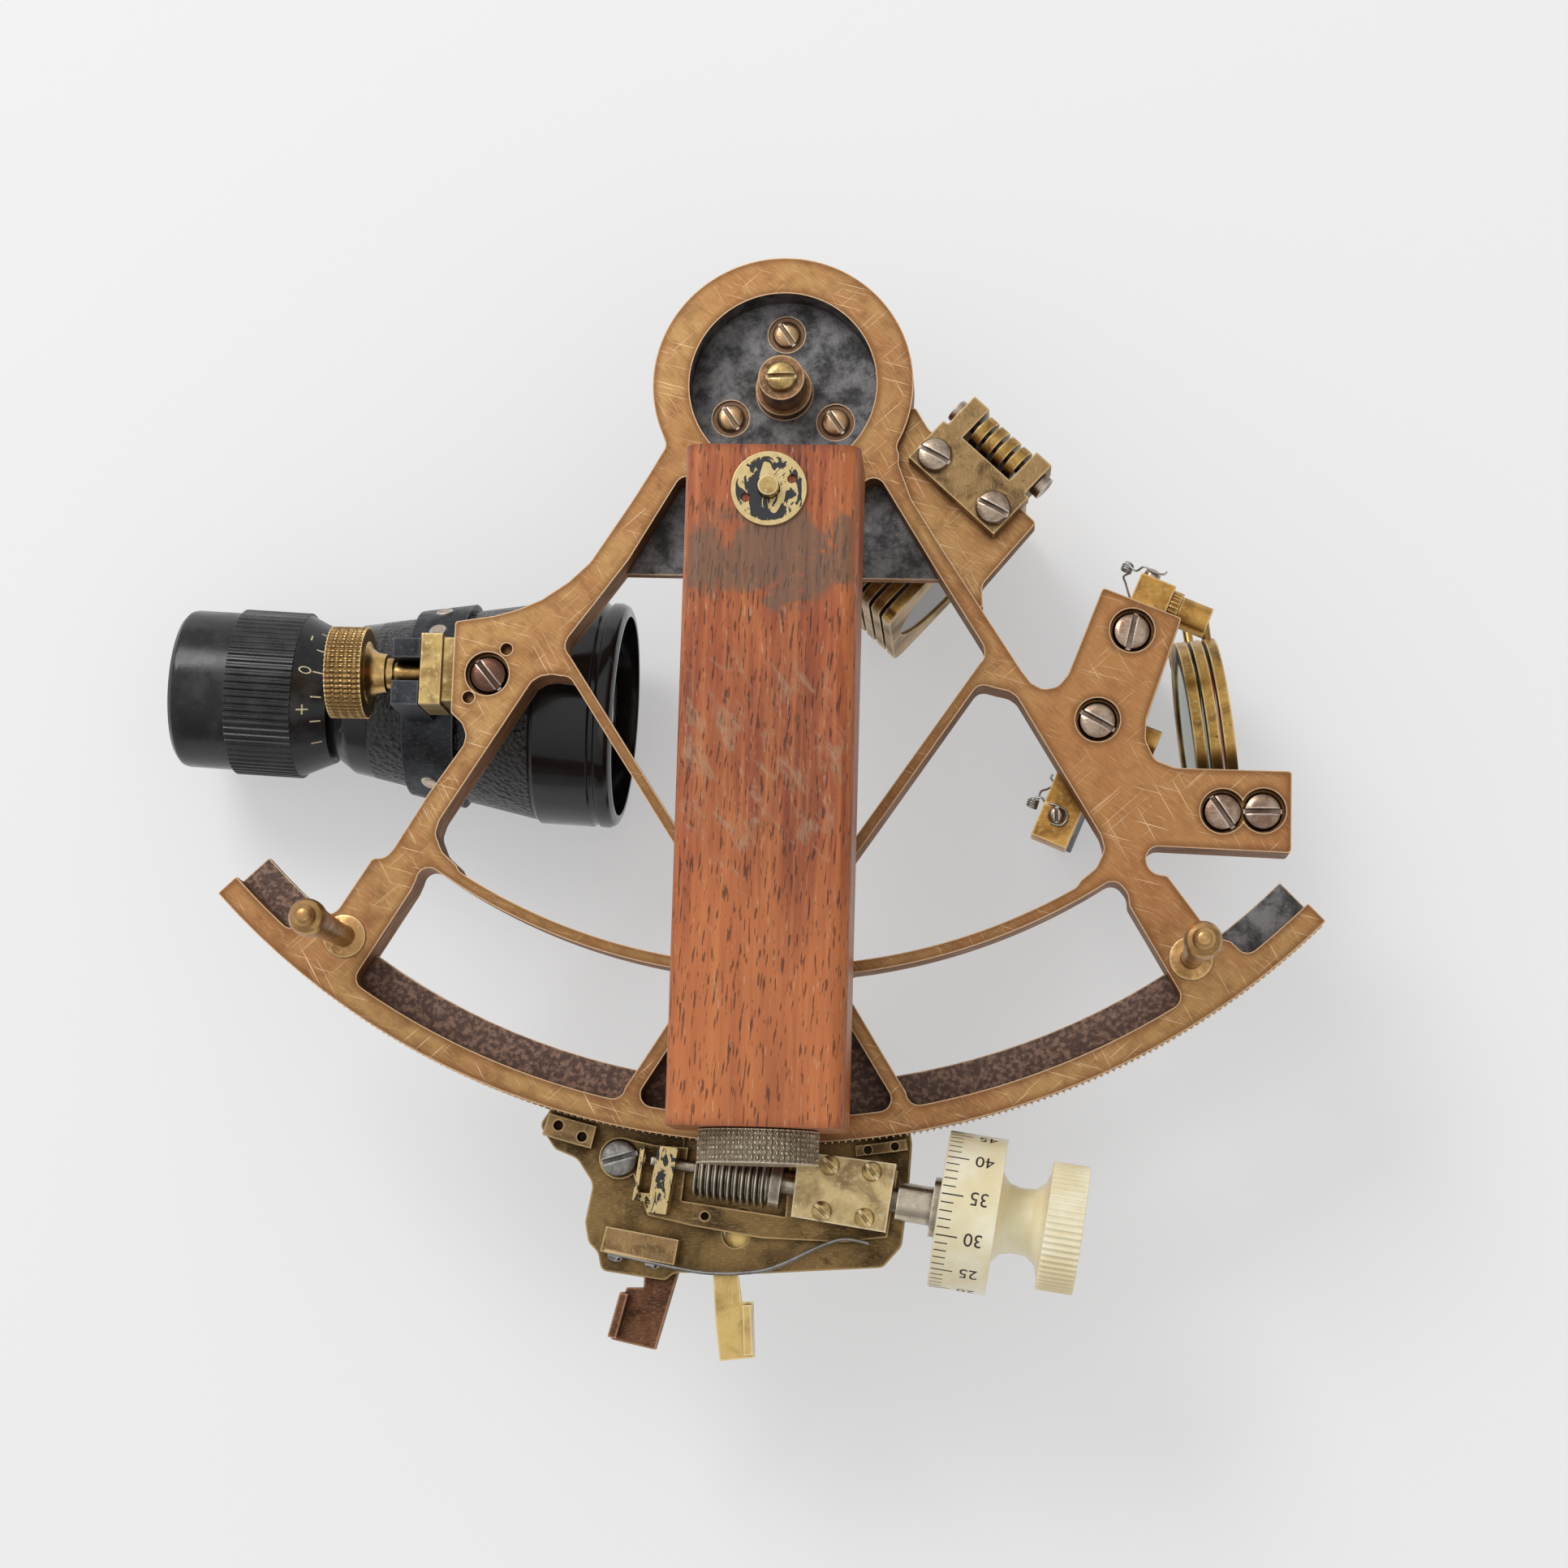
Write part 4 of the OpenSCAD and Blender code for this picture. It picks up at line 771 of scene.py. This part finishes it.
ink = makeInk()
points, faces = [], []
for i in range(60):
    fifth = int(i % 5 == 0)
    middle = math.radians(i * 6 + drumMarks["firstAngle"])
    half = math.radians(drumMarks["halfTurn"][fifth])
    first = len(points)
    for spin in (middle - half, middle, middle + half):
        for along in (drumMarks["ticksAt"], drumMarks["ticksAt"] + drumMarks["tick"][fifth]):
            points.append(onDrum(along, spin))
    faces += [(first, first + 1, first + 3, first + 2), (first + 2, first + 3, first + 5, first + 4)]
for i in range(12):
    number = (drumMarks["firstNumber"] + 5 * i) % 60
    flat, shapes = textPoints(str(number), drumMarks["digit"])
    middle = math.radians(i * 30 + drumMarks["firstAngle"])
    first = len(points)
    for p in flat:
        points.append(onDrum(drumMarks["numbersAt"] - p.x, middle - p.y / drumMarks["skin"]))
    faces += [tuple(first + k for k in shape) for shape in shapes]
meshPiece("drum_divisions", points, faces, ink, "worm", wormMatrix())
print("drum divisions made")


# cream ticks and "- 0 +" on the cone of the focus ring; angles in degrees from the top, toward the arc
focusMarks = {"tickSpan": (30.1, 32.3), "tickTurns": (-50, -30, -10, 10, 30, 50), "tickWide": 0.32,
              "signsAt": 28.5, "signTall": 2.5, "signWide": 1.7, "zero": -10, "minus": -40, "plus": 20,
              "cone": (25.8, 18.3, 33.2, 14.9), "lift": 0.03}


def onCone(u, turn, arc=0.0):
    u0, r0, u1, r1 = focusMarks["cone"]
    radius = r0 + (u - u0) * (r1 - r0) / (u1 - u0) + focusMarks["lift"]
    spin = math.radians(turn) + arc / radius
    return Vector((u, -radius * math.sin(spin), radius * math.cos(spin))) * mm


def markBar(points, faces, spanU, turn, spanArc):
    first = len(points)
    for u in spanU:
        for k in range(4):
            points.append(onCone(u, turn, spanArc[0] + (spanArc[1] - spanArc[0]) * k / 3))
    faces += [(first + k, first + k + 1, first + k + 5, first + k + 4) for k in range(3)]


cream, creamShader = startMaterial("creamPaint", 0.5, 0.0)
creamFade = noise(cream, place(cream), 1500.0, 3.0)
connect(cream, blendColor(cream, step(cream, creamFade, 0.5, 0.8), (0.72, 0.62, 0.40), (0.40, 0.33, 0.20)),
        creamShader.inputs["Base Color"])
points, faces = [], []
half = focusMarks["tickWide"] / 2
middleU, tall = focusMarks["signsAt"], focusMarks["signTall"] / 2
for turn in focusMarks["tickTurns"]:
    markBar(points, faces, focusMarks["tickSpan"], turn, (-half, half))
markBar(points, faces, (middleU - half, middleU + half), focusMarks["minus"], (-0.8, 0.8))
markBar(points, faces, (middleU - half, middleU + half), focusMarks["plus"], (-tall * 0.9, tall * 0.9))
markBar(points, faces, (middleU - tall, middleU + tall), focusMarks["plus"], (-half, half))
first = len(points)
ringSteps = 28
for k in range(ringSteps):
    spin = math.tau * k / ringSteps
    for swell in (1.0, 0.72):
        along = middleU + tall * math.cos(spin) * (swell + 0.08)
        points.append(onCone(along, focusMarks["zero"], focusMarks["signWide"] / 2 * math.sin(spin) * swell))
count = 2 * ringSteps
for k in range(0, count, 2):
    faces.append((first + k, first + k + 1, first + (k + 3) % count, first + (k + 2) % count))
scopeFrame = shaftMatrix(scope["eyeEnd"], scope["slope"])
meshPiece("focus_marks", points, faces, cream, "eyepiece", scopeFrame)
print("focus marks made")


# a smooth path through a few points, and an outline swept along it
def smoothPath(corners, steps=8):
    path = []
    spots = [Vector(c) for c in corners]
    for i in range(len(spots) - 1):
        before = spots[max(0, i - 1)]
        a, b = spots[i], spots[i + 1]
        after = spots[min(len(spots) - 1, i + 2)]
        for k in range(steps):
            t = k / steps
            path.append(0.5 * ((2 * a) + (b - before) * t + (2 * before - 5 * a + 4 * b - after) * t * t
                               + (3 * a - before - 3 * b + after) * t ** 3))
    path.append(spots[-1])
    return path


def sweep(points, faces, path, outline):
    first, count = len(points), len(outline)
    guide = Vector((0, 0, 1))
    for i, spot in enumerate(path):
        ahead = (path[min(i + 1, len(path) - 1)] - path[max(i - 1, 0)]).normalized()
        across = ahead.cross(guide)
        across = (across if across.length > 0.05 else ahead.cross(Vector((1, 0, 0)))).normalized()
        guide = across.cross(ahead).normalized()
        points.extend((spot + across * a + guide * b) * mm for a, b in outline)
    for i in range(len(path) - 1):
        for k in range(count):
            n = (k + 1) % count
            row = first + i * count
            faces.append((row + k, row + n, row + count + n, row + count + k))
    faces.append(tuple(first + k for k in reversed(range(count))))
    faces.append(tuple(first + (len(path) - 1) * count + k for k in range(count)))


def roundOutline(radius, sides=8):
    turns = [math.tau * k / sides for k in range(sides)]
    return [(radius * math.cos(turn), radius * math.sin(turn)) for turn in turns]


def smoothFaces(piece):
    for face in piece.data.polygons:
        face.use_smooth = len(face.vertices) == 4
    return piece


# torsion springs that press the horizon mirror, each held by a small screw on the base's block;
# "wire" is the wire's radius and "pitch" is counted in those
clips = {"wire": 0.24, "turns": 3.4, "coilRadius": 1.05, "pitch": 2.15, "steps": 14,
         "upper": {"coil": (74.9, -36.2, -13.2), "axis": (0.36, 0.90, -0.25),
                   "toScrew": [(76.6, -37.2, -11.4), (78.4, -36.6, -10.0), (80.4, -37.8, -9.7),
                               (82.4, -38.2, -10.0), (83.3, -37.4, -11.4)],
                   "toMirror": [(74.2, -37.9, -14.2), (74.7, -39.2, -15.2), (75.4, -41.4, -15.8),
                                (76.0, -43.0, -16.2)]},
         "lower": {"coil": (55.6, -88.0, -13.0), "axis": (0.30, 0.90, 0.30),
                   "toScrew": [(57.4, -87.0, -11.6), (58.4, -88.4, -10.4), (60.2, -88.7, -9.7),
                               (62.4, -89.8, -9.7), (62.9, -91.6, -9.7), (61.6, -93.1, -9.7),
                               (59.4, -92.7, -9.7)],
                   "toMirror": [(57.2, -85.5, -14.2), (58.6, -84.6, -15.2), (60.4, -83.4, -16.2),
                                (59.4, -82.0, -16.4), (59.8, -81.2, -16.4)]}}


def coilPath(clip):
    axis = Vector(clip["axis"]).normalized()
    spread = axis.cross(Vector((0, 0, 1))).normalized()
    lift = spread.cross(axis).normalized()
    path = []
    steps = clips["steps"]
    for k in range(int(clips["turns"] * steps) + 1):
        spin = math.tau * k / steps
        rise = (k / steps - clips["turns"] / 2) * clips["wire"] * clips["pitch"]
        swing = (spread * math.cos(spin) + lift * math.sin(spin)) * clips["coilRadius"]
        path.append(Vector(clip["coil"]) + axis * rise + swing)
    return path


points, faces = [], []
for side in ("upper", "lower"):
    clip = clips[side]
    coil = coilPath(clip)
    sweep(points, faces, coil, roundOutline(clips["wire"]))
    for leg, end in (("toScrew", coil[-1]), ("toMirror", coil[0])):
        sweep(points, faces, smoothPath([tuple(end)] + clip[leg]), roundOutline(clips["wire"]))
springs = smoothFaces(meshPiece("torsion_springs", points, faces, finishes["darkSteel"], "frame"))
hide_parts("mirror_springs")
print("torsion springs made")


# leaf spring: one strip, clamped under the block on the arm, its free end on the worm's carrier;
# its path is read from the photograph's pixels
leaf = {"pixels": [(747, 1542), (836, 1563), (886, 1569), (937, 1566), (970, 1555), (1004, 1538),
                   (1038, 1527), (1071, 1532)],
        "height": -6.3, "thick": 0.75, "tall": 2.1}
corners = [photoPoint(pixel, leaf["height"]) for pixel in leaf["pixels"]]
points, faces = [], []
half, tall = leaf["thick"] / 2, leaf["tall"]
sweep(points, faces, smoothPath(corners, 10), [(-half, -tall), (half, -tall), (half, tall), (-half, tall)])
strip = smoothFaces(meshPiece("leaf_strip", points, faces, finishes["darkSteel"], None))
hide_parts("leaf_spring")
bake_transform(strip)
print("leaf strip made")


# small silver screws on the telescope's band: each spot is along the axis and in degrees from the top;
# the band's cone is a place on the axis, its radius there and its slope
bandScrews = {"spots": [(57.6, -38), (57.6, -60), (57.6, 62)], "radius": 1.9, "sides": 20,
              "rings": ((-0.6, 1.0), (0.25, 1.0), (0.45, 0.86)), "cone": (38.5, 16.9, 0.1835), "thick": 1.6}
points, faces = [], []
sides = bandScrews["sides"]
for u, turn in bandScrews["spots"]:
    start, base, slope = bandScrews["cone"]
    radius = base + (u - start) * slope + bandScrews["thick"]
    spin = math.radians(turn)
    out = Vector((-slope, -math.sin(spin), math.cos(spin))).normalized()
    side = out.cross(Vector((1, 0, 0))).normalized()
    ahead = side.cross(out)
    centre = Vector((u, -radius * math.sin(spin), radius * math.cos(spin)))
    first = len(points)
    for rise, swell in bandScrews["rings"]:
        for a, b in roundOutline(1, sides):
            points.append((centre + out * rise + (ahead * a + side * b) * swell * bandScrews["radius"]) * mm)
    for low in (first, first + sides):
        for k in range(sides):
            n = (k + 1) % sides
            faces.append((low + k, low + n, low + sides + n, low + sides + k))
    faces.append(tuple(first + 2 * sides + k for k in range(sides)))
bandHeads = meshPiece("band_screws", points, faces, finishes["nickel"], "telescope", scopeFrame)
print("band screws made")


# camera at the photograph's viewing angle
camera = bpy.data.objects.new("camera", bpy.data.cameras.new("camera"))
bpy.context.scene.collection.objects.link(camera)
camera.data.sensor_width = 36
camera.data.lens = camera.data.sensor_width * view["focal"] / view["imageSize"]
right, up, ahead = viewAxes()
turn = Matrix((right, up, -ahead)).transposed().to_4x4()
camera.matrix_world = Matrix.Translation(Vector(view["spot"]) * mm) @ turn
camera.data.clip_start = 0.01
camera.data.clip_end = 30
bpy.context.scene.camera = camera

# pale floor, under the lowest plane of the mirrors; "size" is half its side in metres, and "seen" is the pale
# tone mixed in, by its share, for camera, glossy and transmission rays
floorLevel = {"height": -67.5, "size": 9.0, "color": (0.86, 0.86, 0.863), "seen": (0.88, 0.88, 0.883),
              "share": 0.45}
floorMesh = bpy.data.meshes.new("floor")
size, height = floorLevel["size"], floorLevel["height"] * mm
points = [(x * size, y * size, height) for x, y in ((-1, -1), (1, -1), (1, 1), (-1, 1))]
floorMesh.from_pydata(points, [], [(0, 1, 2, 3)])
floor = bpy.data.objects.new("floor", floorMesh)
bpy.context.scene.collection.objects.link(floor)
paper, paperShader = startMaterial("palePaper", 0.75, 0.0, floorLevel["color"])
paperPath = addNode(paper, "ShaderNodeLightPath")
paperSeen = paperPath.outputs["Is Camera Ray"]
for ray in ("Is Glossy Ray", "Is Transmission Ray"):
    paperSeen = calc(paper, "MAXIMUM", paperSeen, paperPath.outputs[ray])
paperGlow = addNode(paper, "ShaderNodeEmission", {"Color": (*floorLevel["seen"], 1), "Strength": 1.0})
paperMix = addNode(paper, "ShaderNodeMixShader", {0: calc(paper, "MULTIPLY", paperSeen, floorLevel["share"]),
                                                  1: paperShader.outputs[0], 2: paperGlow.outputs[0]})
connect(paper, paperMix.outputs[0], paper.node_tree.nodes["Material Output"].inputs["Surface"])
floorMesh.materials.append(paper)
floor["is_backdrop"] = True


# lamps in metres and watts; the world is brighter toward "worldFrom"
lights = {"key": {"spot": (-0.75, 0.85, 1.25), "size": 0.7, "power": 11.5},
          "fill": {"spot": (0.9, -0.9, 1.5), "size": 1.6, "power": 3.5},
          "aim": (0, -0.08, 0), "worldLow": 0.36, "worldHigh": 0.84, "worldFrom": (-0.45, 0.40, 0.80)}


def softbox(name, spot, size, power):
    lamp = bpy.data.lights.new(name, "AREA")
    lamp.shape = "SQUARE"
    lamp.size = size
    lamp.energy = power
    holder = bpy.data.objects.new(name, lamp)
    bpy.context.scene.collection.objects.link(holder)
    holder.location = spot
    holder.rotation_mode = "QUATERNION"
    holder.rotation_quaternion = (Vector(lights["aim"]) - Vector(spot)).to_track_quat("-Z", "Y")


softbox("keyLight", **lights["key"])
softbox("fillLight", **lights["fill"])
world = bpy.data.worlds.new("studio")
bpy.context.scene.world = world
world.use_nodes = True
skyCoords = addNode(world, "ShaderNodeTexCoord")
brightSide = tuple(Vector(lights["worldFrom"]).normalized())
skySide = addNode(world, "ShaderNodeVectorMath", {0: skyCoords.outputs["Generated"], 1: brightSide},
                  operation="DOT_PRODUCT")
sky = step(world, skySide.outputs["Value"], -0.1, 0.98, lights["worldLow"], lights["worldHigh"])
connect(world, sky, world.node_tree.nodes["Background"].inputs["Strength"])
world.node_tree.nodes["Background"].inputs["Color"].default_value = (1, 1, 1, 1)
bpy.context.scene.view_settings.view_transform = "Standard"
print("camera, floor and lights ready")

low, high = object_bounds()
